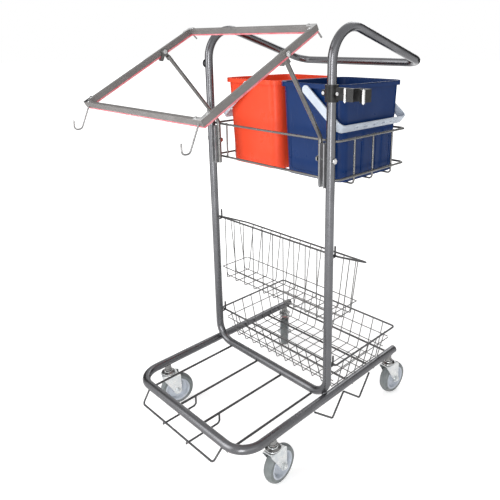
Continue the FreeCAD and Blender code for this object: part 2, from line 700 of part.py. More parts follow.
def bag_corner_plates():
    """Folded plates over the four corners, riveted to the bars."""
    plates = []
    half_t = BAG_BAR_T / 2
    for y, toward in ((-BAG_PIVOT, 1), (BAG_LENGTH - BAG_PIVOT, -1)):
        corner = V(BAG_HALF + half_t, y - toward * half_t, BAG_FACE)
        along = V(0, toward, 0)
        outline = [
            corner, corner + along * BAG_PLATE_L, corner + along * BAG_PLATE_L - X_AXIS * BAG_BAR_T,
            corner + along * BAG_BAR_T - X_AXIS * BAG_BAR_T,
            corner + along * BAG_BAR_T - X_AXIS * BAG_PLATE_L,
            corner - X_AXIS * BAG_PLATE_L,
        ]
        plate = prism(outline, V(0, 0, BAG_PLATE_T))
        rivets = []
        for place in (along * (BAG_PLATE_L - BAG_BAR_T / 2) - X_AXIS * half_t,
                      along * half_t - X_AXIS * (BAG_PLATE_L - BAG_BAR_T / 2)):
            seat = corner + place + V(0, 0, BAG_PLATE_T / 2)
            rivets.append(Part.makeCylinder(BAG_RIVET_R, BAG_PLATE_T / 2 + BAG_RIVET_H, seat, Z_AXIS))
        plates += both_sides(welded([plate] + rivets))
    return group([tilted(plate) for plate in plates])


def bag_hooks(bars):
    """Two J-shaped wire hooks below the front bar, coped to it."""
    start = V(BAG_HOOK_X, -BAG_PIVOT, BAG_FACE - BAG_BAR_H / 2)
    start = tilted(Part.Vertex(start)).Point
    fall = start + V(0, -BAG_HOOK_LEAN, -BAG_HOOK_FALL - BAG_FACE)
    turn = fall + V(0, -BAG_HOOK_MOUTH, 0)
    tip = turn + V(0, 0, BAG_HOOK_TIP)
    hook = bent_bar([start, fall, turn, tip], BAG_HOOK_BEND_R, BAG_HOOK_D).cut(bars)
    hook = min(hook.Solids, key=lambda solid: solid.CenterOfMass.z)
    return group(both_sides(hook))


def bag_pegs(bars):
    """Two short pegs behind the rear ends of the side bars."""
    start = V(BAG_HALF, BAG_LENGTH - BAG_PIVOT, BAG_FACE - BAG_BAR_H / 2)
    start = tilted(Part.Vertex(start)).Point
    fall = math.radians(BAG_PEG_FALL_DEG)
    end = start + V(0, math.cos(fall), -math.sin(fall)) * (BAG_BAR_H / 2 + BAG_PEG_L)
    peg = straight_bar(start, end, BAG_PEG_D).cut(bars)
    return group(both_sides(min(peg.Solids, key=lambda solid: solid.CenterOfMass.z)))


def strut_line():
    """Axis points of the right-hand strut: foot, bend and top."""
    top_x = BAG_HALF - BAG_BAR_T / 2 - BODY_GAP - STRUT_D / 2
    bend = V(STRUT_X, 0, STRUT_BEND_Z)
    top = V(top_x, BAG_PIVOT_Y, BAG_PIVOT_Z)
    away = (bend - top).normalize()
    return V(STRUT_X, 0, STRUT_FOOT_Z), bend, top + away * (LUG_R + STRUT_D / 2)


def bag_struts():
    """The two bent struts, each with a flat lug and a stop for the bag frame."""
    foot, bend, top = strut_line()
    rod = bent_bar([foot, bend, top], STRUT_BEND_R, STRUT_D)
    face = BAG_HALF - BAG_BAR_T / 2 - BODY_GAP
    pivot = V(face - LUG_T, BAG_PIVOT_Y, BAG_PIVOT_Z)
    lug = Part.makeCylinder(LUG_R, LUG_T, pivot, X_AXIS)
    root = V(pivot.x, top.y, top.z)
    down = (root - pivot).normalize()
    root = root + down * STRUT_D
    across = down.cross(X_AXIS) * (STRUT_D / 2)
    tongue = prism([pivot + across, root + across, root - across, pivot - across], V(LUG_T, 0, 0))
    stop_mid = V(0, -LUG_STOP_REACH, -BAG_FACE - BODY_GAP - LUG_STOP_R)
    stop_mid = tilted(Part.Vertex(stop_mid)).Point + V(pivot.x, 0, 0)
    reach = (stop_mid - pivot).normalize().cross(X_AXIS) * LUG_STOP_R
    nose = prism([pivot + reach, stop_mid + reach, stop_mid - reach, pivot - reach], V(LUG_T, 0, 0))
    peg = Part.makeCylinder(LUG_STOP_R, LUG_T + BODY_GAP + LUG_STOP_L, stop_mid, X_AXIS)
    strut = welded([rod, lug, tongue, nose, peg])
    hole = V(pivot.x - STRUT_D, BAG_PIVOT_Y, BAG_PIVOT_Z)
    strut = strut.cut(Part.makeCylinder(PIVOT_BOLT_D / 2 + SEAT_GAP, 2 * STRUT_D, hole, X_AXIS))
    bolt = V(STRUT_X - STRUT_D, 0, BRACKET_BOLT_Z)
    strut = strut.cut(Part.makeCylinder(BRACKET_BOLT_D / 2 + SEAT_GAP, 2 * STRUT_D, bolt, X_AXIS))
    return group(both_sides(max(strut.Solids, key=lambda solid: solid.Volume)))


def bag_pivot_bolts():
    """The bolts through the lugs that the bag frame tips on."""
    inner = BAG_HALF - BAG_BAR_T / 2 - BODY_GAP - LUG_T
    outer = BAG_HALF + BAG_BAR_T / 2 + BODY_GAP
    start = V(inner - PIVOT_HEAD_H, BAG_PIVOT_Y, BAG_PIVOT_Z)
    length = outer + PIVOT_HEAD_H - start.x
    bolt = Part.makeCylinder(PIVOT_BOLT_D / 2, length, start, X_AXIS)
    head = Part.makeCylinder(PIVOT_HEAD_R, PIVOT_HEAD_H, start, X_AXIS)
    nut = Part.makeCylinder(PIVOT_HEAD_R, PIVOT_HEAD_H, V(outer, start.y, start.z), X_AXIS)
    return group(both_sides(welded([bolt, head, nut])))


def strut_brackets():
    """Folded channels, open to the front, between the uprights and the struts."""
    inner = STRUT_X + STRUT_D / 2
    outer = HALF_WIDTH - TUBE_R
    half = BRACKET_DEPTH / 2
    top = BRACKET_FOOT_Z + BRACKET_H
    channel = block(inner, outer, -half, half, BRACKET_FOOT_Z, top)
    sheet = BRACKET_SHEET
    hollow = block(inner + sheet, outer - sheet, -half - 1, half - sheet, BRACKET_FOOT_Z - 1, top + 1)
    channel = channel.cut(hollow)
    bolt = V(inner - 1, 0, BRACKET_BOLT_Z)
    hole = Part.makeCylinder(BRACKET_BOLT_D / 2 + SEAT_GAP, outer - inner + 2, bolt, X_AXIS)
    return group(both_sides(channel.cut(hole)))


def bracket_bolts():
    """The bolts through upright, bracket and strut, domed outside and nutted inside."""
    inner = STRUT_X - STRUT_D / 2
    outer = HALF_WIDTH + TUBE_R
    start = V(inner - BOLT_HEAD_H, 0, BRACKET_BOLT_Z)
    bolt = Part.makeCylinder(BRACKET_BOLT_D / 2, outer - start.x + 1, start, X_AXIS)
    nut = Part.makeCylinder(BOLT_HEAD_R, BOLT_HEAD_H, start, X_AXIS)
    head = Part.makeCone(BOLT_HEAD_R, BOLT_HEAD_R / 2, BOLT_HEAD_H, V(outer, 0, BRACKET_BOLT_Z), X_AXIS)
    return group(both_sides(welded([bolt, nut, head])))


# Wire baskets

def basket_hooks(uprights):
    """Wire hooks behind the uprights, under and behind the front wires of both rims."""
    hooks = []
    for rim_z in (TOP_BASKET_RIM_Z, LOW_BASKET_RIM_Z):
        seat_z = rim_z - HOOK_SEAT
        pin_y = RIM_FRONT + HOOK_SEAT
        points = [V(HALF_WIDTH, 0, seat_z), V(HALF_WIDTH, pin_y, seat_z)]
        points.append(V(HALF_WIDTH, pin_y, rim_z + HOOK_RISE))
        hook = bent_bar(points, HOOK_BEND_R, HOOK_D).cut(uprights)
        hooks += both_sides(max(hook.Solids, key=lambda solid: solid.CenterOfMass.y))
    return group(hooks)


def basket_rim(half, rear, rim_z, rear_z):
    """A basket's rim ring, its front wire lying in the hooks."""
    corners = [V(half, RIM_FRONT, rim_z), V(half, rear, rear_z)]
    corners += [V(-half, rear, rear_z), V(-half, RIM_FRONT, rim_z)]
    return bent_ring(corners, RIM_CORNER_R, RIM_WIRE_D)


def floor_wire(rise, corner, far_corner, far_rise):
    """A wire across a basket's floor with its ends turned up towards the walls."""
    stub = MESH_BEND_R + MESH_WIRE_D
    start = corner + (rise - corner).normalize() * stub
    end = far_corner + (far_rise - far_corner).normalize() * stub
    return bent_bar([start, corner, far_corner, end], MESH_BEND_R, MESH_WIRE_D)


def wall_wire(corner, rise):
    """A wall wire from the turned-up end of a floor wire to the rim."""
    start = corner + (rise - corner).normalize() * (MESH_BEND_R + MESH_WIRE_D)
    return straight_bar(start, rise, MESH_WIRE_D)


def low_basket_mesh():
    """The lower basket's floor and walls, each a welded grille of crossing wires."""
    inset = (RIM_WIRE_D + MESH_WIRE_D) / 2
    layer = MESH_WIRE_D - WELD
    front = RIM_FRONT + inset
    rear = LOW_BASKET_REAR - inset
    side = LOW_BASKET_HALF - inset
    floor_z = LOW_BASKET_FLOOR_Z
    floor_front = front + LOW_BASKET_TAPER_Y
    floor_rear = rear - LOW_BASKET_TAPER_Y
    floor_side = side - LOW_BASKET_TAPER_X
    margin = MESH_BEND_R + MESH_WIRE_D * 2
    xs = spread(LOW_BASKET_WIRES, floor_side - margin)
    mid_y = (floor_front + floor_rear) / 2
    ys = [mid_y + y for y in spread(LOW_BASKET_RUNNERS, (floor_rear - floor_front) / 2 - margin)]
    rim_z = LOW_BASKET_RIM_Z
    floor = []
    front_wall = []
    rear_wall = []
    for x in xs:
        corners = (V(x, front, rim_z), V(x, floor_front, floor_z))
        corners += (V(x, floor_rear, floor_z), V(x, rear, rim_z))
        floor.append(floor_wire(*corners))
        front_wall.append(wall_wire(corners[1], corners[0]))
        rear_wall.append(wall_wire(corners[2], corners[3]))
    right_wall = []
    for y in ys:
        corners = (V(-side, y, rim_z), V(-floor_side, y, floor_z + layer))
        corners += (V(floor_side, y, floor_z + layer), V(side, y, rim_z))
        floor.append(floor_wire(*corners))
        right_wall.append(wall_wire(corners[2], corners[3]))
    for index in range(LOW_BASKET_COURSES):
        share = (index + 1) / (LOW_BASKET_COURSES + 1)
        z = floor_z + (rim_z - floor_z) * share
        side_x = floor_side + LOW_BASKET_TAPER_X * share
        half_y = (floor_rear - floor_front) / 2 + LOW_BASKET_TAPER_Y * share
        end_x = side_x - MESH_WIRE_D
        end_y = half_y - MESH_WIRE_D
        lean = math.atan2(LOW_BASKET_TAPER_Y, rim_z - floor_z)
        course_y = half_y + layer * math.cos(lean)
        course_z = z - layer * math.sin(lean)
        for wall, y in ((front_wall, mid_y - course_y), (rear_wall, mid_y + course_y)):
            wall.append(straight_bar(V(-end_x, y, course_z), V(end_x, y, course_z), MESH_WIRE_D))
        lean = math.atan2(LOW_BASKET_TAPER_X, rim_z - floor_z)
        course_x = side_x + layer * math.cos(lean)
        course_z = z - layer * math.sin(lean)
        start = V(course_x, mid_y - end_y, course_z)
        right_wall.append(straight_bar(start, V(course_x, mid_y + end_y, course_z), MESH_WIRE_D))
    right = welded(right_wall)
    return group([welded(floor), welded(front_wall), welded(rear_wall), right, left_of(right)])


def top_basket_mesh():
    """The upper basket's floor and walls, each a welded grille of crossing wires."""
    inset = (RIM_WIRE_D + MESH_WIRE_D) / 2
    layer = MESH_WIRE_D - WELD
    front = RIM_FRONT + inset
    rear = TOP_BASKET_REAR - inset
    floor_z = TOP_BASKET_FLOOR_Z
    ring_z = TOP_BASKET_RING_Z
    end_x = TOP_BASKET_END_X
    margin = MESH_BEND_R + MESH_WIRE_D * 2
    floor = []
    front_wall = []
    rear_wall = []
    for x in spread(TOP_BASKET_WIRES, end_x - margin):
        corners = (V(x, front, TOP_BASKET_RIM_Z), V(x, front, floor_z))
        corners += (V(x, TOP_BASKET_FLOOR_REAR, floor_z), V(x, rear, TOP_BASKET_REAR_Z))
        floor.append(floor_wire(*corners))
        front_wall.append(wall_wire(corners[1], corners[0]))
        rear_wall.append(wall_wire(corners[2], corners[3]))
    half = (TOP_BASKET_FLOOR_REAR - front) / 2
    mid_y = front + half
    end_wall = []
    rim_x = TOP_BASKET_HALF - inset
    rim_fall = (TOP_BASKET_RIM_Z - TOP_BASKET_REAR_Z) / (TOP_BASKET_REAR - RIM_FRONT)
    for y in spread(TOP_BASKET_RUNNERS, half - margin):
        rim_z = TOP_BASKET_RIM_Z - rim_fall * (mid_y + y - RIM_FRONT)
        corners = (V(-rim_x, mid_y + y, rim_z), V(-end_x, mid_y + y, floor_z + layer))
        corners += (V(end_x, mid_y + y, floor_z + layer), V(rim_x, mid_y + y, rim_z))
        floor.append(floor_wire(*corners))
        end_wall.append(wall_wire(corners[2], corners[3]))
    share = (ring_z - floor_z) / (TOP_BASKET_REAR_Z - floor_z)
    rear_y = between(V(0, TOP_BASKET_FLOOR_REAR, 0), V(0, rear, 0), share).y + layer
    end_share = (ring_z - floor_z) / (TOP_BASKET_RIM_Z - rim_fall * (mid_y - RIM_FRONT) - floor_z)
    ring_x = end_x + (rim_x - end_x) * end_share + layer
    front_y = front - layer
    half_x = ring_x - MESH_WIRE_D
    front_wall.append(straight_bar(V(-half_x, front_y, ring_z), V(half_x, front_y, ring_z), MESH_WIRE_D))
    rear_wall.append(straight_bar(V(-half_x, rear_y, ring_z), V(half_x, rear_y, ring_z), MESH_WIRE_D))
    start = V(ring_x, front_y, ring_z)
    end_wall.append(straight_bar(start, V(ring_x, rear_y, ring_z), MESH_WIRE_D))
    right = welded(end_wall)
    return group([welded(floor), welded(front_wall), welded(rear_wall), right, left_of(right)])


# Tool clip

def clip_half(toward):
    """One half of the clamp round the right upright, with an ear on each side."""
    mid = V(HALF_WIDTH, 0, CLIP_Z)
    ring = Part.makeCylinder(CLIP_BAND_R, CLIP_H, mid, Z_AXIS)
    near = CLIP_SPLIT / 2
    far = near + CLIP_EAR_T
    ear_z = CLIP_Z + (CLIP_H - CLIP_EAR_H) / 2
    ear_y = sorted((toward * near, toward * far))
    ear_x = HALF_WIDTH - CLIP_BAND_R - CLIP_EAR_W
    ear = block(ear_x, HALF_WIDTH, ear_y[0], ear_y[1], ear_z, ear_z + CLIP_EAR_H)
    arm = block(HALF_WIDTH, CLIP_SIDE_X, ear_y[0], ear_y[1], CLIP_JAW_Z, CLIP_JAW_Z + CLIP_JAW_H)
    reach = 2 * CLIP_BAND_R + CLIP_EAR_W + CLIP_NECK
    keep = sorted((toward * near, toward * reach))
    side = block(HALF_WIDTH - reach, HALF_WIDTH + reach, keep[0], keep[1], CLIP_Z, CLIP_Z + CLIP_H)
    half = ring.fuse([ear, arm]).common(side)
    half = half.cut(Part.makeCylinder(TUBE_R, CLIP_H, mid, Z_AXIS))
    for x in clip_screw_places():
        screw = V(x, -reach, CLIP_Z + CLIP_H / 2)
        half = half.cut(Part.makeCylinder(CLIP_SCREW_D / 2 + SEAT_GAP, 2 * reach, screw, Y_AXIS))
    return half


def clip_screw_places():
    """The screws' places across the cart: one in the ears and one in the neck."""
    reach = CLIP_BAND_R + CLIP_EAR_W / 2
    return HALF_WIDTH - reach, HALF_WIDTH + reach


def clip_clamp():
    """Both halves of the clamp round the upright."""
    return group([clip_half(-1), clip_half(1)])


def clip_screws():
    """The two screws that draw the clamp together, with heads in front and nuts behind."""
    reach = CLIP_SPLIT / 2 + CLIP_EAR_T
    screws = []
    for x in clip_screw_places():
        head_at = V(x, -reach - CLIP_SCREW_D / 2, CLIP_Z + CLIP_H / 2)
        shank = Part.makeCylinder(CLIP_SCREW_D / 2, 2 * reach + CLIP_SCREW_D, head_at, Y_AXIS)
        head = Part.makeCylinder(CLIP_SCREW_D, CLIP_SCREW_D / 2, head_at, Y_AXIS)
        nut = Part.makeCylinder(CLIP_SCREW_D, CLIP_SCREW_D / 2, V(x, reach, head_at.z), Y_AXIS)
        screws.append(welded([shank, head, nut]))
    return group(screws)


def clip_lips():
    """Axes of the two rollers in the lips of the jaws, at the jaws' lower face."""
    y = -CLIP_BORE_R - CLIP_LIP
    out = CLIP_JAW_HALF + CLIP_LIP_FLARE - CLIP_WALL / 2
    return [V(CLIP_BORE_X + side * out, y, CLIP_JAW_Z) for side in (-1, 1)]


def clip_jaws():
    """The sprung jaws: a moulded U with a round seat, a narrow mouth and lips that hold the rollers."""
    height = V(0, 0, CLIP_JAW_H)
    back_y = CLIP_BORE_R + CLIP_BACK
    lip_y = -CLIP_BORE_R - CLIP_LIP
    half_mouth = CLIP_MOUTH / 2
    flare = CLIP_JAW_HALF + CLIP_LIP_FLARE
    outline = []
    for side in (-1, 1):
        run = [
            V(side * CLIP_JAW_HALF, back_y, 0), V(side * CLIP_JAW_HALF, -CLIP_BORE_R, 0),
            V(side * flare, lip_y, 0), V(side * (flare - CLIP_WALL), lip_y, 0),
            V(side * half_mouth, -CLIP_BORE_R, 0), V(side * half_mouth, 0, 0),
        ]
        outline += run if side < 0 else run[::-1]
    body = prism(outline, height)
    body.translate(V(CLIP_BORE_X, 0, CLIP_JAW_Z))
    body = body.cut(Part.makeCylinder(CLIP_BORE_R, CLIP_JAW_H, V(CLIP_BORE_X, 0, CLIP_JAW_Z), Z_AXIS))
    for seat in clip_lips():
        body = body.cut(Part.makeCylinder(CLIP_ROLLER_R + SEAT_GAP, CLIP_JAW_H, seat, Z_AXIS))
    return body


def clip_rollers():
    """A plated roller in each lip, with the ends of its pin standing out."""
    rollers = []
    for seat in clip_lips():
        roller = Part.makeCylinder(CLIP_ROLLER_R, CLIP_JAW_H, seat, Z_AXIS)
        low = seat - Z_AXIS * CLIP_ROLLER_PIN
        pin = Part.makeCylinder(CLIP_ROLLER_PIN_R, CLIP_JAW_H + 2 * CLIP_ROLLER_PIN, low, Z_AXIS)
        rollers.append(welded([roller, pin]))
    return group(rollers)


# Casters

def caster_stems():
    """Stems riveted through the forks, with race caps and coped necks against the base tubes."""
    stems = []
    for x, y in CASTERS.values():
        head_z = CROWN_Z - BODY_GAP - STEM_HEAD
        profile = [
            V(0, 0, head_z), V(STEM_HEAD_D / 2, 0, head_z), V(STEM_HEAD_D / 2, 0, head_z + STEM_HEAD),
            V(STEM_D / 2, 0, head_z + STEM_HEAD), V(STEM_D / 2, 0, RACE_Z), V(RACE_R, 0, RACE_Z),
            V(RACE_R, 0, RACE_Z + RACE_HEIGHT / 2), V(NECK_R + 2, 0, NECK_Z), V(NECK_R, 0, NECK_Z),
            V(NECK_R, 0, BASE_Z), V(0, 0, BASE_Z),
        ]
        stem = turned(profile, V(0, 0, 0), Z_AXIS)
        stem = stem.cut(Part.makeCylinder(TUBE_R, 4 * NECK_R, V(0, -2 * NECK_R, BASE_Z), Y_AXIS))
        stem = min(stem.Solids, key=lambda solid: solid.CenterOfMass.z)
        peg = Part.makeCylinder(STEM_D / 2, TUBE_R + 1, V(0, 0, BASE_Z - TUBE_R - 1), Z_AXIS)
        stem = welded([stem, peg])
        stem.translate(V(x, y, 0))
        stems.append(stem)
    return group(stems)


def fork(x, y):
    """A folded sheet fork: a channel trimmed to its side outline, with crown and axle holes."""
    half = HUB_WIDTH / 2 + FORK_SIDE_GAP
    top = CROWN_Z + FORK_SHEET
    reach = 2 * FORK_CROWN_R + CASTER_TRAIL
    outer = [V(-half - FORK_SHEET, -reach, 0), V(-half - FORK_SHEET, -reach, top)]
    outer += [V(half + FORK_SHEET, -reach, top), V(half + FORK_SHEET, -reach, 0)]
    inner = [V(half, -reach, 0), V(half, -reach, CROWN_Z), V(-half, -reach, CROWN_Z), V(-half, -reach, 0)]
    edges = bent_path(outer, FORK_BEND_R + FORK_SHEET).Edges
    edges.append(Part.LineSegment(outer[3], inner[0]).toShape())
    edges += bent_path(inner, FORK_BEND_R).Edges
    edges.append(Part.LineSegment(inner[3], outer[0]).toShape())
    channel = Part.Face(Part.Wire(edges)).extrude(V(0, 2 * reach, 0))
    width = half + FORK_SHEET + 1
    axle = V(-width, CASTER_TRAIL, WHEEL_R)
    shoulder = CROWN_Z - FORK_BEND_R
    side = prism([
        V(-width, -FORK_CROWN_R, top), V(-width, -FORK_CROWN_R, shoulder),
        V(-width, CASTER_TRAIL - FORK_EYE_R, WHEEL_R), V(-width, CASTER_TRAIL + FORK_EYE_R, WHEEL_R),
        V(-width, FORK_CROWN_R + FORK_EYE_R, shoulder), V(-width, FORK_CROWN_R, top),
    ], V(2 * width, 0, 0))
    side = side.fuse(Part.makeCylinder(FORK_EYE_R, 2 * width, axle, X_AXIS))
    shape = channel.common(side)
    hole = Part.makeCylinder(STEM_D / 2 + RUN_GAP, 4 * FORK_SHEET, V(0, 0, CROWN_Z - FORK_SHEET), Z_AXIS)
    shape = shape.cut(hole)
    shape = shape.cut(Part.makeCylinder(AXLE_D / 2 + SEAT_GAP, 2 * width, axle, X_AXIS))
    shape = shape.Solids[0]
    shape.translate(V(x, y, 0))
    return shape


def axle_bolt(x, y):
    """The axle through a fork, headed on both sides."""
    half = HUB_WIDTH / 2 + FORK_SIDE_GAP + FORK_SHEET
    mid = V(x, y + CASTER_TRAIL, WHEEL_R)
    shank = Part.makeCylinder(AXLE_D / 2, 2 * half, mid - X_AXIS * half, X_AXIS)
    heads = []
    for side in (-1, 1):
        seat = mid + X_AXIS * side * half
        heads.append(Part.makeCone(AXLE_D, AXLE_D * 0.8, AXLE_HEAD, seat, X_AXIS * side))
    return welded([shank] + heads)


def wheel_hub(x, y):
    """The moulded wheel centre: rim, web and boss on the axle."""
    rim_r = WHEEL_R - TYRE_DEPTH
    rim_in = rim_r - HUB_RIM
    half_rim = TYRE_WIDTH / 2
    half_hub = HUB_WIDTH / 2
    half_web = HUB_WEB / 2
    boss = HUB_BOSS_D / 2
    bore = AXLE_D / 2 + RUN_GAP
    right = [V(half_hub, bore, 0), V(half_hub, boss, 0), V(half_web, boss + HUB_WEB / 2, 0),
             V(half_web, rim_in - HUB_WEB / 2, 0), V(half_rim, rim_in, 0), V(half_rim, rim_r, 0)]
    left = [V(-point.x, point.y, 0) for point in reversed(right)]
    hub = turned(right + left, V(0, 0, 0), X_AXIS)
    hub.translate(V(x, y + CASTER_TRAIL, WHEEL_R))
    return hub


def wheel_tyre(x, y):
    """The tyre: a ring with a crowned tread, seated on the wheel centre."""
    inner = WHEEL_R - TYRE_DEPTH + SEAT_GAP / 2
    half = TYRE_WIDTH / 2
    shoulder = WHEEL_R - TYRE_CROWN
    points = [V(-half, shoulder, 0), V(-half, inner, 0), V(half, inner, 0), V(half, shoulder, 0)]
    edges = [Part.LineSegment(first, last).toShape() for first, last in zip(points, points[1:])]
    edges.append(Part.Arc(points[3], V(0, WHEEL_R, 0), points[0]).toShape())
    tyre = Part.Face(Part.Wire(edges)).revolve(V(0, 0, 0), X_AXIS, 360)
    tyre.translate(V(x, y + CASTER_TRAIL, WHEEL_R))
    return tyre


def all_pieces():
    """Every node of the cart by name, drawn about the middle plane of the tubes."""
    tube = base_tube()
    uprights = upright_frame()
    rods = floor_rods()
    bars = bag_bars()
    strips = bag_strips()
    right_bucket = bucket()
    right_bail = bail()
    pieces = {
        "base_tube": tube,
        "base_end_plugs": end_plugs(),
        "upright_frame": uprights,
        "push_handle": push_handle(),
        "strap_stud": strap_stud(),
        "floor_rods": rods,
        "cross_rods": cross_rods(),
        "front_rest_bow": front_rest(tube),
        "front_rest_arms": front_rest_arms(rods),
        "side_rest_wire": side_rest(),
        "rack_upper_ring": rack_ring(RACK_TOP_Z),
        "rack_lower_ring": rack_ring(RACK_LOW_Z),
        "rack_hoops": rack_hoops(),
        "rack_posts": rack_posts(),
        "bag_struts": bag_struts(),
        "strut_brackets": strut_brackets(),
        "bracket_bolts": bracket_bolts(),
        "bag_pivot_bolts": bag_pivot_bolts(),
        "bag_bars": bars,
        "bag_edge_strips": strips,
        "bag_corner_plates": bag_corner_plates(),
        "bag_front_hooks": bag_hooks(group([bars, strips])),
        "bag_rear_pegs": bag_pegs(group([bars, strips])),
        "bucket_blue": right_bucket,
        "bail_blue": right_bail,
        "bucket_red": left_of(right_bucket),
        "bail_red": left_of(right_bail),
        "basket_hooks": basket_hooks(uprights),
        "upper_basket_rim": basket_rim(TOP_BASKET_HALF, TOP_BASKET_REAR, TOP_BASKET_RIM_Z,
                                       TOP_BASKET_REAR_Z),
        "upper_basket_mesh": top_basket_mesh(),
        "lower_basket_rim": basket_rim(LOW_BASKET_HALF, LOW_BASKET_REAR, LOW_BASKET_RIM_Z,
                                       LOW_BASKET_RIM_Z),
        "lower_basket_mesh": low_basket_mesh(),
        "tool_clip_clamp": clip_clamp(),
        "tool_clip_screws": clip_screws(),
        "tool_clip_jaws": clip_jaws(),
        "tool_clip_rollers": clip_rollers(),
        "caster_stems": caster_stems(),
    }
    for place, (x, y) in CASTERS.items():
        caster = {"caster_fork_": fork(x, y), "caster_axle_": axle_bolt(x, y)}
        caster.update({"wheel_hub_": wheel_hub(x, y), "wheel_tyre_": wheel_tyre(x, y)})
        for name, shape in caster.items():
            shape.rotate(V(x, y, 0), Z_AXIS, CASTER_TURN_DEG[place])
            pieces[name + place] = shape
    return pieces


def floor_origin(pieces):
    """The point on the floor under the middle of the whole cart's box."""
    box = FreeCAD.BoundBox()
    for shape in pieces.values():
        box.add(shape.optimalBoundingBox(False, False))
    return V(box.Center.x, box.Center.y, box.ZMin)


def main():
    os.makedirs("parts", exist_ok=True)
    pieces = all_pieces()
    origin = floor_origin(pieces)
    print("origin on the floor", [round(value, 4) for value in origin])
    for name, shape in pieces.items():
        shape.translate(-origin)
        shape.exportStep("parts/" + name + ".step")


if __name__ == "__main__":
    main()
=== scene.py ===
"""Cleaning cart: finishes, fine pieces, floor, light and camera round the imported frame.

Metres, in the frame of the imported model. Places on the cart are written in millimetres about the middle
plane of the tubes, the plane of the uprights and the floor, and moved into the frame by ORIGIN.
"""
import json
import math

import bmesh
import bpy
from bpy.props import FloatProperty, FloatVectorProperty, IntProperty, PointerProperty
from mathutils import Matrix, Vector


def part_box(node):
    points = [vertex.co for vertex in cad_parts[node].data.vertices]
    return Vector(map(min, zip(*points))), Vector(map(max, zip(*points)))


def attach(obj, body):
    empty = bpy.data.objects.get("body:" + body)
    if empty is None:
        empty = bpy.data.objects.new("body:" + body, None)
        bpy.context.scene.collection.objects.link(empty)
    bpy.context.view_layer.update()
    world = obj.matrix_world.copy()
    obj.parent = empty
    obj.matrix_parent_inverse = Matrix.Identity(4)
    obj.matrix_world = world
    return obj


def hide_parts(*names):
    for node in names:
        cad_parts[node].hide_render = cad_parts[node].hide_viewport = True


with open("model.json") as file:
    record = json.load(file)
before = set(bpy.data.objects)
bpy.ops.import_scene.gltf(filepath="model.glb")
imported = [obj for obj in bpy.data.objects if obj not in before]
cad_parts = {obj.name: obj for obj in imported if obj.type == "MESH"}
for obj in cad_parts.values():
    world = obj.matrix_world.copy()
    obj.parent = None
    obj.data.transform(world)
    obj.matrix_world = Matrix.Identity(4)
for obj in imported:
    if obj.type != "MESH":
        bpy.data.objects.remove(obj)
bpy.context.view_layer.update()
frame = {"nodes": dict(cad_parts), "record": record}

bl_info = {
    "name": "Cleaning cart",
    "version": (1, 0, 0),
    "blender": (4, 5, 0),
    "location": "3D View > Sidebar > Cart",
    "description": "Dresses the cleaning cart's frame with finishes, welds, fasteners and a studio",
    "category": "Object",
}

CASTERS = ("front_left", "front_right", "rear_left", "rear_right")
JOINTS = {joint["name"]: joint for joint in frame["record"]["behaviour"]["joints"]}


def middle(node):
    """Middle of a node's box."""
    low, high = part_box(node)
    return (low + high) / 2


ORIGIN = Vector((middle("base_tube").x, middle("upright_frame").y, 0))


def at(x, y, z):
    """A place on the cart in millimetres, as a point of the frame."""
    return ORIGIN + Vector((x, y, z)) / 1000


# Places on the cart in millimetres, as in the part's source

TUBE_R = 11
SIDE_X = 220
FRONT_Y = -291
BASE_Z = middle("base_tube").z * 1000
FLOOR_ROD_X = (50, 167)
CROSS_ROD_Y = (110, 210, 305)
REST_ARM_Y = -321
REST_ARM_DROP = 39.5
FOOT_WELD_X = 212.2
FOOT_WELD_RISE = 7.8
RACK_FRONT_Y = 17
RACK_POST_X = 177
RACK_SIDE_X = 224
HOOP_Y = (88, 164, 248)
BASKET_HOOK_Z = (528.7, 223.7)

# Lengths in metres, as in the part's source

FORK_FACE = 0.0167
TYRE_HALF = 0.0120
WHEEL_R = 0.0475
TYRE_DEPTH = 0.0120
RACE_GAP = 0.0003
BOLT_FACE = SIDE_X / 1000 + TUBE_R / 1000
BOLT_INNER = 0.1830
PIVOT_HEAD_H = 0.0030
PIVOT_HEAD_R = 0.0057
BAG_TILT = math.radians(29)
BAG_HALF = 0.2200
BAG_FRONT = -0.2407
BAG_LENGTH = 0.3420
BAG_LUG = 0.030
STRIP_FOOT = -0.0088
RIM_CORNER = 0.0375

# Lengths of the fine pieces in metres

FOOT_WELD_R = 0.0062
FOOT_WELD_BEAD = 0.0022
RACE_RINGS = ((0.0030, 0.0188, 0.0010, 40), (0.0078, 0.0112, 0.0012, 32))  # rise, radius, bead, steps
NECK_NUT_RISE = 0.0086
NECK_NUT_H = 0.0064
AXLE_R = 0.0039
WASHER_T = 0.0012
WASHER_EDGE = 0.0003
AXLE_END_R = 0.0040
AXLE_END_L = 0.0022
AXLE_END_EDGE = 0.0006
AXLE_HEAD_R = 0.0052
AXLE_HEAD_H = 0.0012
WHEEL_BEAD_IN = 0.0025
WHEEL_BEAD_R = 0.0009
BOLT_HEAD_GAP = 0.0001
BOLT_HEAD_R = 0.0070
BOLT_HEAD_H = 0.0042
BOLT_SOCKET_R = 0.0021
STRUT_NUT_H = 0.0046
PIVOT_NUT_RISE = 0.0010
PIVOT_END_R = 0.0032
PIVOT_END_H = 0.0012
STRIP_EDGE = 0.01
RIM_ROLL_DROP = 0.0022
RIM_ROLL_H = 0.0030
RIM_ROLL_EDGE = 0.0011

# Shares of a size

HOOK_WELD_SHARE = 1.2
NUT_EDGE_SHARE = 0.16
HEAD_EDGE_SHARE = 0.55
SOCKET_EDGE_SHARE = 0.10
SOCKET_DEPTH_SHARE = 0.6
DOT_HEIGHT_SHARE = 0.6
DOT_EDGE_SHARE = 0.22

# Dark cards of the studio: bearing from the cart, and lengths in metres

CARD_RIGHT = math.radians(78)
CARD_LEFT = math.radians(186)
CARD_AWAY = 2.2
CARD_RISE = 0.9
CARD_WIDE = 0.75
CARD_TALL = 1.5
CARD_TONE = 0.02

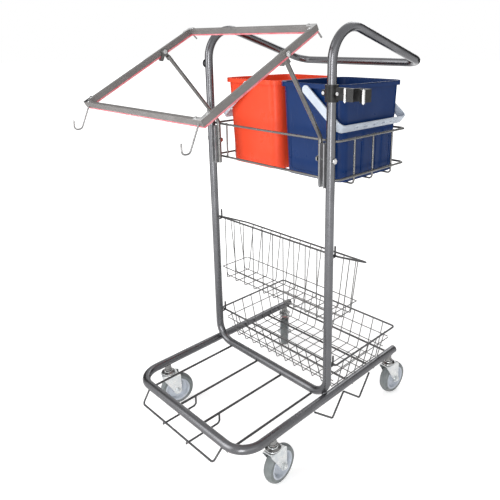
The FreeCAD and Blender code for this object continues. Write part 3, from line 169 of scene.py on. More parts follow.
# Lamps of the studio: name, place, width and height in metres, and the property with the power

LAMPS = (
    ("key_light", Vector((-1.5, -2.6, 2.7)), 2.2, 2.2, "key"),
    ("fill_light", Vector((2.9, -0.9, 1.7)), 2.0, 2.0, "fill"),
    ("back_light", Vector((-0.6, 2.6, 2.6)), 2.0, 2.0, "back"),
    ("strip_light", Vector((1.74, -2.37, 0.95)), 0.75, 1.9, "strip"),
    ("panel_light", Vector((-0.9, -2.5, 1.1)), 1.8, 1.6, "panel"),
)
LAMP_AIM = Vector((0, 0, 0.55))
FLOOR_HALF = 30
SENSOR_MM = 36
CLIP_START = 0.05
RUBBED_BLACK = (0.10, 0.10, 0.10)
SAME_PLACE = 1e-7
SHARP_ANGLE = math.radians(60)

# Nodes whose finish is finer than their slot's. The caster stems take the dark hook steel in place of their
# slot's zinc, as painted shade at the caster necks.

OWN_FINISH = {
    "upper_basket_mesh": "mesh_wire", "lower_basket_mesh": "mesh_wire", "strut_brackets": "bracket_sheet",
    "bag_front_hooks": "hook_steel", "bag_rear_pegs": "hook_steel", "bag_corner_plates": "bright_steel",
    "bag_pivot_bolts": "bright_steel", "bracket_bolts": "bright_steel", "tool_clip_rollers": "bright_steel",
    "tool_clip_screws": "bright_steel", "caster_stems": "hook_steel",
}


# Sizes and colours that a user may change

def colour(label, note, value):
    """A colour property."""
    return FloatVectorProperty(name=label, description=note, subtype="COLOR", size=3, min=0, max=1,
                               default=value)


def length(label, note, value):
    """A length property in metres."""
    return FloatProperty(name=label, description=note, unit="LENGTH", min=0, precision=4, default=value)


def power(label, note, value):
    """A power property in watts."""
    return FloatProperty(name=label, description=note, unit="POWER", min=0, default=value)


class CART_PG_finishes(bpy.types.PropertyGroup):
    """Colours of the cart's materials."""
    tube: colour("Tube paint", "Metallic grey paint of the bent tubes", (0.140, 0.141, 0.149))
    # Painted shade: a darker tone laid in the low lines between the hammer marks of the tube paint.
    tube_hollow_shade: colour("Tube low spots", "Darker tone between the fine paint marks", (0.070, 0.071, 0.075))
    wire: colour("Dark wire", "Dark coating of the rims, rods and hooks", (0.040, 0.040, 0.042))
    mesh: colour("Mesh wire", "Grey coating of the baskets' thin wires", (0.130, 0.129, 0.127))
    rack: colour("Rack wire", "Grey coating of rack and struts", (0.165, 0.162, 0.157))
    zinc: colour("Zinc", "Zinc plate of the casters", (0.68, 0.69, 0.68))
    zinc_cool: colour("Zinc, cool", "Cooler patches in the zinc plate", (0.56, 0.585, 0.60))
    steel: colour("Bright steel", "Bolts, nuts, rollers and corner plates", (0.52, 0.52, 0.52))
    # The hook tone also darkens the caster stems and neck nuts, as painted shade at the caster necks.
    hook: colour("Hook steel", "Hooks and pegs of the bag frame", (0.235, 0.233, 0.230))
    bracket: colour("Brackets", "Dark sheet between uprights and struts", (0.290, 0.292, 0.300))
    bar: colour("Bag bars", "Matt metal of the bag frame", (0.190, 0.180, 0.175))
    strip: colour("Edge strip", "Soft strip under the bag bars", (0.68, 0.13, 0.16))
    blue: colour("Blue bucket", "Moulded blue plastic", (0.004, 0.027, 0.118))
    red: colour("Red bucket", "Moulded red plastic", (0.88, 0.078, 0.030))
    bail: colour("Bails", "Pale plastic of the bucket handles", (0.58, 0.64, 0.72))
    black: colour("Black plastic", "Clip, plugs and stud", (0.006, 0.006, 0.006))
    hub: colour("Wheel centres", "Pale plastic of the wheel centres", (0.52, 0.56, 0.62))
    tyre: colour("Tyres", "Grey rubber", (0.165, 0.185, 0.188))
    dust: colour("Dust", "Dust low on the cart", (0.42, 0.40, 0.37))


class CART_PG_details(bpy.types.PropertyGroup):
    """Sizes of the fine pieces."""
    weld_ring: length("Wire weld", "Radius of a weld ring between two wires", 0.0026)
    weld_bead: length("Weld bead", "Thickness radius of a weld ring", 0.0011)
    nut_across: length("Axle nut", "Width across the flats of an axle nut", 0.0130)
    nut_height: length("Axle nut height", "Height of an axle nut", 0.0046)
    washer: length("Washer", "Radius of an axle washer", 0.0086)
    neck_nut: length("Neck nut", "Width across the flats of the nut on a caster neck", 0.0196)
    bolt_nut: length("Bolt nut", "Width across the flats of a bolt's nut", 0.0126)
    dot_pitch: length("Strip dots", "Pitch of the dots along the edge strips", 0.0052)
    dot_size: length("Strip dot", "Width of a dot on an edge strip", 0.0030)
    rim_bead: length("Rim bead", "Width of the rolled edge on a bucket", 0.0034)
    bevel_steps: IntProperty(name="Bevel steps", description="Segments of a rounded edge", default=3, min=1,
                             max=8)


class CART_PG_stage(bpy.types.PropertyGroup):
    """Camera and light of the studio."""
    eye: FloatVectorProperty(name="Camera place", description="Where the camera stands", unit="LENGTH",
                             subtype="TRANSLATION", size=3, default=at(982.85, -919.96, 1034.30))
    turn: FloatVectorProperty(name="Camera turn", description="Rotation of the camera", subtype="EULER",
                              unit="ROTATION", size=3, default=(math.radians(74.63), 0, math.radians(43.37)))
    lens: FloatProperty(name="Lens", description="Focal length in millimetres", default=38.05, min=1)
    shift_x: FloatProperty(name="Shift across", description="Off-centre framing across", default=-0.0943)
    shift_y: FloatProperty(name="Shift up", description="Off-centre framing up", default=-0.1222)
    key: power("Key light", "Power of the key light", 38)
    fill: power("Fill light", "Power of the fill light", 14)
    back: power("Back light", "Power of the light behind", 30)
    strip: power("Strip light", "Power of the tall strip light", 46)
    panel: power("Panel light", "Power of the broad front panel", 26)
    sky: FloatProperty(name="Room light", description="Even light from all round", default=0.42, min=0)
    floor: colour("Floor", "Colour of the pale floor", (0.86, 0.86, 0.86))
    floor_glow: FloatProperty(name="Floor near", description="Whitening of the floor by the cart",
                              default=0.46, min=0)
    floor_near: length("White from", "Distance at which the floor starts to whiten", 0.7)
    floor_far: length("White at", "Distance at which the floor is white", 2.6)


# Node building

def add_node(tree, kind, settings=None, **inputs):
    """Add a node; an input given a socket is linked, any other value is set."""
    node = tree.nodes.new(kind)
    for key, value in (settings or {}).items():
        setattr(node, key, value)
    for key, value in inputs.items():
        plug(tree, node.inputs[key.replace("_", " ")], value)
    return node


def plug(tree, socket, value):
    """Link a socket to a source, or set its value."""
    if isinstance(value, bpy.types.NodeSocket):
        tree.links.new(value, socket)
    else:
        socket.default_value = value


def new_group(name, inputs, outputs):
    """An empty shader group; returns its tree, input node and output node."""
    tree = bpy.data.node_groups.new(name, "ShaderNodeTree")
    for label, kind, value in inputs:
        socket = tree.interface.new_socket(label, in_out="INPUT", socket_type="NodeSocket" + kind)
        if value is not None:
            socket.default_value = value
    for label, kind in outputs:
        tree.interface.new_socket(label, in_out="OUTPUT", socket_type="NodeSocket" + kind)
    return tree, tree.nodes.new("NodeGroupInput"), tree.nodes.new("NodeGroupOutput")


def math_node(tree, operation, first, second):
    """The output of a maths node with a clamped result."""
    node = tree.nodes.new("ShaderNodeMath")
    node.operation = operation
    node.use_clamp = True
    plug(tree, node.inputs[0], first)
    plug(tree, node.inputs[1], second)
    return node.outputs[0]


def blend_colour(tree, mask, first, second):
    """The output of a colour mix by a mask."""
    node = tree.nodes.new("ShaderNodeMix")
    node.data_type = "RGBA"
    plug(tree, node.inputs[0], mask)
    plug(tree, node.inputs[6], first)
    plug(tree, node.inputs[7], second)
    return node.outputs[2]


def spread_value(tree, value, low, high, new_low, new_high):
    """The output of a map range node."""
    node = add_node(tree, "ShaderNodeMapRange", Value=value)
    for index, number in enumerate((low, high, new_low, new_high), start=1):
        node.inputs[index].default_value = number
    return node.outputs[0]


def noise(tree, vector, scale, detail=2.0, rough=0.5):
    """The output of a noise texture."""
    node = add_node(tree, "ShaderNodeTexNoise", Vector=vector, Detail=detail, Roughness=rough)
    plug(tree, node.inputs["Scale"], scale)
    return node.outputs["Fac"]


def per_size(tree, size):
    """One over a size, as a texture scale."""
    node = tree.nodes.new("ShaderNodeMath")
    node.operation = "DIVIDE"
    node.inputs[0].default_value = 1.0
    tree.links.new(size, node.inputs[1])
    return node.outputs[0]


def make_clouds():
    """Soft patches of a given size, for uneven colour and gloss."""
    tree, start, end = new_group("uneven_patches", [("Vector", "Vector", None), ("Size", "Float", 0.05)],
                                 [("Mask", "Float")])
    value = noise(tree, start.outputs["Vector"], per_size(tree, start.outputs["Size"]), 4.0, 0.6)
    tree.links.new(spread_value(tree, value, 0.36, 0.64, 0, 1), end.inputs["Mask"])
    return tree


def make_grain():
    """Fine even grain for the bump of moulded and coated surfaces."""
    tree, start, end = new_group("fine_grain", [("Vector", "Vector", None), ("Size", "Float", 0.001)],
                                 [("Height", "Float")])
    value = noise(tree, start.outputs["Vector"], per_size(tree, start.outputs["Size"]), 2.0, 0.5)
    tree.links.new(value, end.inputs["Height"])
    return tree


def make_hammer():
    """Rounded hammer marks in paint: the height between cells and a mask of the low lines."""
    tree, start, end = new_group("hammer_marks", [("Vector", "Vector", None), ("Size", "Float", 0.004)],
                                 [("Height", "Float"), ("Low", "Float")])
    scale = per_size(tree, start.outputs["Size"])
    cells = add_node(tree, "ShaderNodeTexVoronoi", {"feature": "SMOOTH_F1"}, Vector=start.outputs["Vector"])
    tree.links.new(scale, cells.inputs["Scale"])
    height = spread_value(tree, cells.outputs["Distance"], 0.05, 0.6, 1, 0)
    tree.links.new(height, end.inputs["Height"])
    tree.links.new(spread_value(tree, cells.outputs["Distance"], 0.35, 0.62, 0, 1), end.inputs["Low"])
    return tree


def make_scuffs():
    """Short rubbing marks that run along one direction."""
    inputs = [("Vector", "Vector", None), ("Stretch", "Vector", (30, 30, 400))]
    tree, start, end = new_group("rub_marks", inputs, [("Mask", "Float")])
    wide = add_node(tree, "ShaderNodeVectorMath", {"operation": "MULTIPLY"})
    tree.links.new(start.outputs["Vector"], wide.inputs[0])
    tree.links.new(start.outputs["Stretch"], wide.inputs[1])
    lines = spread_value(tree, noise(tree, wide.outputs[0], 1.0, 3.0, 0.6), 0.60, 0.74, 0, 1)
    areas = spread_value(tree, noise(tree, start.outputs["Vector"], 14.0, 3.0, 0.6), 0.48, 0.66, 0, 1)
    tree.links.new(math_node(tree, "MULTIPLY", lines, areas), end.inputs["Mask"])
    return tree


def make_dust():
    """Dust that thins out with height above the floor."""
    tree, start, end = new_group("floor_dust", [("Vector", "Vector", None), ("Reach", "Float", 0.2)],
                                 [("Mask", "Float")])
    parts = add_node(tree, "ShaderNodeSeparateXYZ", Vector=start.outputs["Vector"])
    rise = math_node(tree, "DIVIDE", parts.outputs["Z"], start.outputs["Reach"])
    low = math_node(tree, "SUBTRACT", 1.0, rise)
    patches = spread_value(tree, noise(tree, start.outputs["Vector"], 60.0, 5.0, 0.65), 0.42, 0.70, 0, 1)
    tree.links.new(math_node(tree, "MULTIPLY", low, patches), end.inputs["Mask"])
    return tree


class Finish:
    """One material under construction: its shader, object coordinates and shared effects."""

    groups = {}

    def __init__(self, name):
        self.material = bpy.data.materials.new(name + "_finish")
        self.material.use_nodes = True
        self.tree = self.material.node_tree
        self.tree.nodes.clear()
        out = self.tree.nodes.new("ShaderNodeOutputMaterial")
        self.shader = self.tree.nodes.new("ShaderNodeBsdfPrincipled")
        self.tree.links.new(self.shader.outputs["BSDF"], out.inputs["Surface"])
        self.place = self.tree.nodes.new("ShaderNodeTexCoord").outputs["Object"]

    def effect(self, name, **inputs):
        """Place a shared effect with its own values."""
        node = self.tree.nodes.new("ShaderNodeGroup")
        node.node_tree = Finish.groups[name]
        plug(self.tree, node.inputs["Vector"], self.place)
        for key, value in inputs.items():
            plug(self.tree, node.inputs[key], value)
        return node

    def set(self, socket, value):
        """Set or link one socket of the shader."""
        plug(self.tree, self.shader.inputs[socket], value)

    def base(self, mask, first, second):
        """Base colour between two tones by a mask."""
        mixed = blend_colour(self.tree, mask, (*first, 1), (*second, 1))
        self.set("Base Color", mixed)
        return mixed

    def over(self, mask, strength, tone):
        """Lay another tone over the base colour by a mask."""
        under = self.shader.inputs["Base Color"].links[0].from_socket
        share = math_node(self.tree, "MULTIPLY", mask, strength)
        self.set("Base Color", blend_colour(self.tree, share, under, (*tone, 1)))

    def gloss(self, mask, low, high):
        """Roughness between two values by a mask."""
        self.set("Roughness", spread_value(self.tree, mask, 0, 1, low, high))

    def bump(self, height, strength, distance):
        """A bump from a height, on top of any bump before it."""
        node = add_node(self.tree, "ShaderNodeBump", Height=height, Strength=strength, Distance=distance)
        links = self.shader.inputs["Normal"].links
        if links:
            self.tree.links.new(links[0].from_socket, node.inputs["Normal"])
        self.set("Normal", node.outputs["Normal"])


def darker(tone, share):
    """A tone taken down by a share."""
    return tuple(value * share for value in tone)


def paler(tone, share):
    """A tone taken towards white by a share."""
    return tuple(value + (1 - value) * share for value in tone)


def tube_paint(props):
    """Metallic grey paint on the bent tubes: nearly smooth, with faint marks, painted shade in the low lines
    of the marks, and rubbed places.
    """
    made = Finish("tube_grey")
    marks = made.effect("hammer", Size=0.0030)
    patches = made.effect("clouds", Size=0.06)
    made.base(patches.outputs["Mask"], props.tube, darker(props.tube, 0.84))
    # Painted shade in the low lines of the hammer marks.
    made.over(marks.outputs["Low"], 0.06, props.tube_hollow_shade)
    made.over(made.effect("scuffs", Stretch=(90, 90, 90)).outputs["Mask"], 0.08, paler(props.tube, 0.35))
    made.over(made.effect("dust", Reach=0.20).outputs["Mask"], 0.12, props.dust)
    made.set("Metallic", 0.88)
    made.gloss(patches.outputs["Mask"], 0.22, 0.30)
    made.bump(marks.outputs["Height"], 0.008, 0.0003)
    return made.material


def coated_wire(name, tone, rubbed, shine):
    """Coated wire with uneven tone and lightly rubbed places."""
    made = Finish(name)
    patches = made.effect("clouds", Size=0.03)
    made.base(patches.outputs["Mask"], darker(tone, 0.8), paler(tone, 0.03))
    made.over(made.effect("scuffs", Stretch=(160, 160, 160)).outputs["Mask"], 0.25, rubbed)
    made.set("Metallic", shine)
    made.gloss(patches.outputs["Mask"], 0.30, 0.44)
    made.bump(made.effect("grain", Size=0.0016).outputs["Height"], 0.10, 0.0002)
    return made.material


def rack_wire(props):
    """Grey coated wire and rod of rack and struts."""
    made = Finish("bright_wire")
    patches = made.effect("clouds", Size=0.035)
    made.base(patches.outputs["Mask"], props.rack, darker(props.rack, 0.78))
    made.over(made.effect("scuffs", Stretch=(220, 220, 60)).outputs["Mask"], 0.35, paler(props.rack, 0.4))
    made.set("Metallic", 0.80)
    made.gloss(patches.outputs["Mask"], 0.24, 0.34)
    made.bump(made.effect("grain", Size=0.002).outputs["Height"], 0.06, 0.0002)
    return made.material


def plated(name, tone, other, smooth):
    """Plated steel with faint patches and fine rubbing lines."""
    made = Finish(name)
    patches = made.effect("clouds", Size=0.016)
    made.base(patches.outputs["Mask"], tone, other)
    made.over(made.effect("scuffs", Stretch=(240, 60, 240)).outputs["Mask"], 0.12, darker(tone, 0.6))
    made.set("Metallic", 0.92)
    made.gloss(patches.outputs["Mask"], smooth, smooth + 0.10)
    made.bump(made.effect("grain", Size=0.0012).outputs["Height"], 0.03, 0.0002)
    return made.material


def bar_metal(props):
    """Matt drawn metal of the bag frame."""
    made = Finish("bar_grey")
    patches = made.effect("clouds", Size=0.05)
    rubbed = made.effect("scuffs", Stretch=(20, 420, 420))
    made.base(patches.outputs["Mask"], props.bar, darker(props.bar, 0.88))
    made.over(rubbed.outputs["Mask"], 0.12, paler(props.bar, 0.25))
    made.set("Metallic", 0.35)
    made.gloss(patches.outputs["Mask"], 0.40, 0.50)
    made.bump(made.effect("grain", Size=0.0009).outputs["Height"], 0.03, 0.0002)
    return made.material


def strip_rubber(props):
    """Soft red strip under the bars."""
    made = Finish("strip_red")
    patches = made.effect("clouds", Size=0.018)
    made.base(patches.outputs["Mask"], props.strip, paler(props.strip, 0.18))
    made.gloss(patches.outputs["Mask"], 0.55, 0.70)
    made.bump(made.effect("grain", Size=0.0012).outputs["Height"], 0.25, 0.0003)
    return made.material


def bucket_plastic(name, tone):
    """Moulded bucket plastic: a faint flow in the colour, rub marks and orange peel."""
    made = Finish(name)
    patches = made.effect("clouds", Size=0.09)
    made.base(patches.outputs["Mask"], tone, darker(tone, 0.90))
    made.over(made.effect("scuffs", Stretch=(240, 240, 22)).outputs["Mask"], 0.12, paler(tone, 0.30))
    made.set("Specular IOR Level", 0.16)
    made.gloss(patches.outputs["Mask"], 0.26, 0.36)
    made.bump(made.effect("grain", Size=0.0030).outputs["Height"], 0.06, 0.0004)
    made.bump(made.effect("grain", Size=0.0007).outputs["Height"], 0.05, 0.0001)
    return made.material


def bail_plastic(props):
    """Pale moulded plastic of the bails."""
    made = Finish("bail_grey")
    patches = made.effect("clouds", Size=0.04)
    made.base(patches.outputs["Mask"], props.bail, darker(props.bail, 0.9))
    made.over(made.effect("scuffs", Stretch=(120, 120, 120)).outputs["Mask"], 0.15, darker(props.bail, 0.6))
    made.gloss(patches.outputs["Mask"], 0.34, 0.46)
    made.bump(made.effect("grain", Size=0.0009).outputs["Height"], 0.08, 0.0002)
    return made.material


def black_plastic(props):
    """Grained black plastic of clip, plugs and stud."""
    made = Finish("black_plastic")
    patches = made.effect("clouds", Size=0.015)
    made.base(patches.outputs["Mask"], props.black, paler(props.black, 0.02))
    made.over(made.effect("scuffs", Stretch=(200, 200, 50)).outputs["Mask"], 0.25, RUBBED_BLACK)
    made.set("Specular IOR Level", 0.22)
    made.gloss(patches.outputs["Mask"], 0.28, 0.44)
    made.bump(made.effect("grain", Size=0.0008).outputs["Height"], 0.16, 0.0002)
    return made.material


def hub_plastic(props):
    """Pale wheel centres with dust in the hollows."""
    made = Finish("hub_grey")
    patches = made.effect("clouds", Size=0.02)
    made.base(patches.outputs["Mask"], props.hub, darker(props.hub, 0.90))
    made.over(made.effect("dust", Reach=0.11).outputs["Mask"], 0.25, darker(props.dust, 0.7))
    made.gloss(patches.outputs["Mask"], 0.36, 0.50)
    made.bump(made.effect("grain", Size=0.001).outputs["Height"], 0.08, 0.0002)
    return made.material


def tyre_rubber(props):
    """Grey rubber, dusty towards the floor."""
    made = Finish("tyre_grey")
    patches = made.effect("clouds", Size=0.014)
    made.base(patches.outputs["Mask"], props.tyre, darker(props.tyre, 0.84))
    made.over(made.effect("dust", Reach=0.10).outputs["Mask"], 0.35, props.dust)
    made.gloss(patches.outputs["Mask"], 0.50, 0.66)
    made.bump(made.effect("grain", Size=0.0015).outputs["Height"], 0.18, 0.0003)
    return made.material


# Mesh building

def facing(point, direction):
    """A matrix at the point whose Z runs along the direction."""
    return Matrix.Translation(point) @ Vector(direction).to_track_quat("Z", "Y").to_matrix().to_4x4()


def ring(bm, point, direction, radius, bead, steps=20, sides=8):
    """A round ring about the direction, spun from a small circle."""
    place = facing(point, direction)
    start = place @ Matrix.Translation((radius, 0, 0)) @ Matrix.Rotation(math.pi / 2, 4, "X")
    made = bmesh.ops.create_circle(bm, cap_ends=False, segments=sides, radius=bead, matrix=start)
    edges = list({edge for vert in made["verts"] for edge in vert.link_edges})
    bmesh.ops.spin(bm, geom=made["verts"] + edges, cent=point, axis=direction, angle=2 * math.pi, steps=steps,
                   use_merge=True)


def drum(bm, point, direction, radius, depth, sides=32, round_to=0.0, steps=2, top=None):
    """A round or many-sided drum from the point along the direction, its ends rounded where asked."""
    place = facing(point, direction) @ Matrix.Translation((0, 0, depth / 2))
    made = bmesh.ops.create_cone(bm, cap_ends=True, segments=sides, radius1=radius,
                                 radius2=radius if top is None else top, depth=depth, matrix=place)
    if round_to > 0:
        caps = [face for face in {f for v in made["verts"] for f in v.link_faces} if len(face.verts) == sides]
        edges = list({edge for face in caps for edge in face.edges})
        bmesh.ops.bevel(bm, geom=edges, offset=round_to, offset_type="OFFSET", segments=steps, profile=0.5,
                        affect="EDGES", material=-1, clamp_overlap=True)


def nut(bm, point, direction, across, height):
    """A hexagon nut with chamfered corners."""
    drum(bm, point, direction, across / math.sqrt(3), height, sides=6, round_to=height * NUT_EDGE_SHARE,
         steps=2)


def dome(bm, point, direction, radius, height, sides=24):
    """A low domed head: half a sphere flattened along the direction."""
    place = facing(point, direction) @ Matrix.Diagonal((radius, radius, height, 1))
    made = bmesh.ops.create_uvsphere(bm, u_segments=sides, v_segments=12, radius=1, matrix=place)
    geom = made["verts"] + list({e for v in made["verts"] for e in v.link_edges})
    geom += list({f for v in made["verts"] for f in v.link_faces})
    cut = bmesh.ops.bisect_plane(bm, geom=geom, plane_co=point, plane_no=direction, clear_inner=True)
    rim = [item for item in cut["geom_cut"] if isinstance(item, bmesh.types.BMEdge)]
    bmesh.ops.contextual_create(bm, geom=rim)


def socket_head(bm, point, direction, radius, height, socket):
    """A round-edged bolt head with a socket sunk in its top."""
    before = set(bm.faces)
    rounding = height * HEAD_EDGE_SHARE
    drum(bm, point, direction, radius, height, sides=24, round_to=rounding, steps=4)
    made = [face for face in bm.faces if face not in before]
    cap = max(made, key=lambda face: face.calc_center_median().dot(Vector(direction)))
    bmesh.ops.inset_region(bm, faces=[cap], thickness=radius - rounding - socket, use_even_offset=True)
    bmesh.ops.inset_region(bm, faces=[cap], thickness=socket * SOCKET_EDGE_SHARE,
                           depth=-height * SOCKET_DEPTH_SHARE, use_even_offset=True)


def put(bm, name, body, slot, angle=35, finish=None):
    """Turn a finished bmesh into a piece of the cart."""
    bmesh.ops.remove_doubles(bm, verts=bm.verts, dist=SAME_PLACE)
    bmesh.ops.recalc_face_normals(bm, faces=bm.faces)
    for face in bm.faces:
        face.smooth = True
    for edge in bm.edges:
        edge.smooth = len(edge.link_faces) == 2 and edge.calc_face_angle(0) < math.radians(angle)
    mesh = bpy.data.meshes.new(name)
    bm.to_mesh(mesh)
    bm.free()
    mesh.materials.append(bpy.data.materials[(finish or slot) + "_finish"])
    piece = bpy.data.objects.new(name, mesh)
    bpy.context.scene.collection.objects.link(piece)
    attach(piece, body)
    return piece


# Operators

class CART_OT_finishes(bpy.types.Operator):
    """Build the materials and give every node of the frame its own"""
    bl_idname = "cart.finishes"
    bl_label = "Finishes"

    def execute(self, context):
        props = context.scene.cart_finishes
        Finish.groups = {"clouds": make_clouds(), "grain": make_grain(), "hammer": make_hammer(),
                         "scuffs": make_scuffs(), "dust": make_dust()}
        for make in (tube_paint, rack_wire, bar_metal, strip_rubber, bail_plastic, black_plastic, hub_plastic,
                     tyre_rubber):
            make(props)
        coated_wire("dark_wire", props.wire, props.mesh, 0.35)
        coated_wire("mesh_wire", props.mesh, props.rack, 0.55)
        coated_wire("bracket_sheet", props.bracket, props.mesh, 0.40)
        plated("zinc", props.zinc, props.zinc_cool, 0.24)
        plated("bright_steel", props.steel, darker(props.steel, 0.8), 0.18)
        # Dark hook steel, also laid on the caster stems and neck nuts as painted shade at the caster necks.
        plated("hook_steel", props.hook, darker(props.hook, 0.8), 0.24)
        bucket_plastic("bucket_blue", props.blue)
        bucket_plastic("bucket_red", props.red)
        for part in frame["record"]["subparts"]:
            name = OWN_FINISH.get(part["node"], part["material_slot"])
            for slot in frame["nodes"][part["node"]].material_slots:
                slot.material = bpy.data.materials[name + "_finish"]
        return {"FINISHED"}


class CART_OT_frame_welds(bpy.types.Operator):
    """Lay weld beads where the tubes, rods and rests of the base meet"""
    bl_idname = "cart.frame_welds"
    bl_label = "Frame welds"

    def execute(self, context):
        props = context.scene.cart_details
        under = BASE_Z - TUBE_R
        bm = bmesh.new()
        for side in (-1, 1):
            foot = at(side * FOOT_WELD_X, 0, BASE_Z + FOOT_WELD_RISE)
            ring(bm, foot, (-side, 0, 1), FOOT_WELD_R, FOOT_WELD_BEAD, steps=28)
            spots = [at(side * x, y, under) for x in FLOOR_ROD_X for y in (FRONT_Y, 0)]
            spots += [at(side * SIDE_X, y, under) for y in CROSS_ROD_Y]
            spots.append(at(side * FLOOR_ROD_X[0], REST_ARM_Y, BASE_Z - REST_ARM_DROP))
            for spot in spots:
                ring(bm, spot, (0, 0, 1), props.weld_ring, props.weld_bead)
        put(bm, "frame_welds", "frame", "tube_grey")
        return {"FINISHED"}


class CART_OT_rack_welds(bpy.types.Operator):
    """Lay weld beads where the rack's rings, hoops and posts and the baskets' hooks meet"""
    bl_idname = "cart.rack_welds"
    bl_label = "Rack welds"

    def execute(self, context):
        props = context.scene.cart_details
        heights = [middle(node).z * 1000 for node in ("rack_upper_ring", "rack_lower_ring")]
        bm = bmesh.new()
        for side in (-1, 1):
            for z in heights:
                ring(bm, at(side * SIDE_X, TUBE_R, z), (0, 1, 0), props.weld_ring, props.weld_bead)
                ring(bm, at(side * RACK_POST_X, RACK_FRONT_Y, z), (0, 1, 0), props.weld_ring, props.weld_bead)
                for y in HOOP_Y:
                    ring(bm, at(side * RACK_SIDE_X, y, z), (1, 0, 0), props.weld_ring, props.weld_bead)
        put(bm, "rack_welds", "frame", "bright_wire")
        bm = bmesh.new()
        for side in (-1, 1):
            for z in BASKET_HOOK_Z:
                ring(bm, at(side * SIDE_X, TUBE_R, z), (0, 1, 0), props.weld_ring,
                     props.weld_bead * HOOK_WELD_SHARE)
        put(bm, "hook_welds", "frame", "dark_wire")
        return {"FINISHED"}


class CART_OT_caster_fittings(bpy.types.Operator):
    """Make the axle bolts with nuts and washers, the neck nuts, the race rings and the wheels' beads"""
    bl_idname = "cart.caster_fittings"
    bl_label = "Caster fittings"

    def execute(self, context):
        props = context.scene.cart_details
        races = bmesh.new()
        nuts = bmesh.new()
        for place in CASTERS:
            self.axle(props, place)
            self.wheel_beads(place)
            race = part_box("caster_fork_" + place)[1].z + RACE_GAP
            swivel = JOINTS["swivel_" + place]["pos_m"]
            axis = Vector((swivel[0], swivel[1], race))
            up = Vector((0, 0, 1))
            for rise, radius, bead, steps in RACE_RINGS:
                ring(races, axis + up * rise, up, radius, bead, steps=steps)
            nut(nuts, axis + up * NECK_NUT_RISE, up, props.neck_nut, NECK_NUT_H)
        put(races, "caster_race_rings", "frame", "zinc")
        # The neck nuts take the dark hook steel in place of zinc, as painted shade at the caster necks.
        put(nuts, "caster_neck_nuts", "frame", "zinc", finish="hook_steel")
        return {"FINISHED"}

    def axle(self, props, place):
        """The axle bolt with a washer and nut on each side."""
        joint = JOINTS["roll_" + place]
        mid = Vector(joint["pos_m"])
        along = Vector(joint["axis"]).normalized()
        bm = bmesh.new()
        drum(bm, mid - along * FORK_FACE, along, AXLE_R, 2 * FORK_FACE, sides=24)
        for out in (-along, along):
            seat = mid + out * FORK_FACE
            drum(bm, seat, out, props.washer, WASHER_T, round_to=WASHER_EDGE)
            nut(bm, seat + out * WASHER_T, out, props.nut_across, props.nut_height)
            end = seat + out * (WASHER_T + props.nut_height)
            if out == along:
                drum(bm, end, out, AXLE_END_R, AXLE_END_L, sides=24, round_to=AXLE_END_EDGE)
            else:
                dome(bm, end, out, AXLE_HEAD_R, AXLE_HEAD_H)
        piece = put(bm, "axle_fittings_" + place, "swivel_" + place, "zinc")
        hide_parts("caster_axle_" + place)

    def wheel_beads(self, place):
        """Raised beads round the rim of a wheel centre."""
        joint = JOINTS["roll_" + place]
        mid = Vector(joint["pos_m"])
        along = Vector(joint["axis"]).normalized()
        bm = bmesh.new()
        for out in (-along, along):
            ring(bm, mid + out * TYRE_HALF, out, WHEEL_R - TYRE_DEPTH - WHEEL_BEAD_IN, WHEEL_BEAD_R, steps=48)
        put(bm, "wheel_beads_" + place, "wheel_" + place, "hub_grey")


class CART_OT_bolt_fittings(bpy.types.Operator):
    """Put heads and nuts on the bracket bolts, and nuts and domes on the bag frame's pivot bolts"""
    bl_idname = "cart.bolt_fittings"
    bl_label = "Bolt fittings"

    def execute(self, context):
        props = context.scene.cart_details
        bolts = middle("bracket_bolts")
        pivots = middle("bag_pivot_bolts")
        low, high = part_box("bag_pivot_bolts")
        half = (high.x - low.x) / 2
        bm = bmesh.new()
        nuts = bmesh.new()
        for side in (-1, 1):
            out = Vector((side, 0, 0))
            seat = Vector((ORIGIN.x, bolts.y, bolts.z))
            head = seat + out * (BOLT_FACE + BOLT_HEAD_GAP)
            socket_head(bm, head, out, BOLT_HEAD_R, BOLT_HEAD_H, BOLT_SOCKET_R)
            nut(nuts, seat + out * BOLT_INNER, -out, props.bolt_nut, STRUT_NUT_H)
            pivot = Vector((ORIGIN.x, pivots.y, pivots.z))
            nut(bm, pivot + out * (half - PIVOT_HEAD_H), out, PIVOT_HEAD_R * 2, PIVOT_HEAD_H + PIVOT_NUT_RISE)
            dome(bm, pivot + out * (half + PIVOT_NUT_RISE), out, PIVOT_END_R, PIVOT_END_H)
        put(bm, "bolt_fittings", "frame", "zinc", finish="bright_steel")
        put(nuts, "strut_nuts", "frame", "zinc", finish="hook_steel")
        return {"FINISHED"}


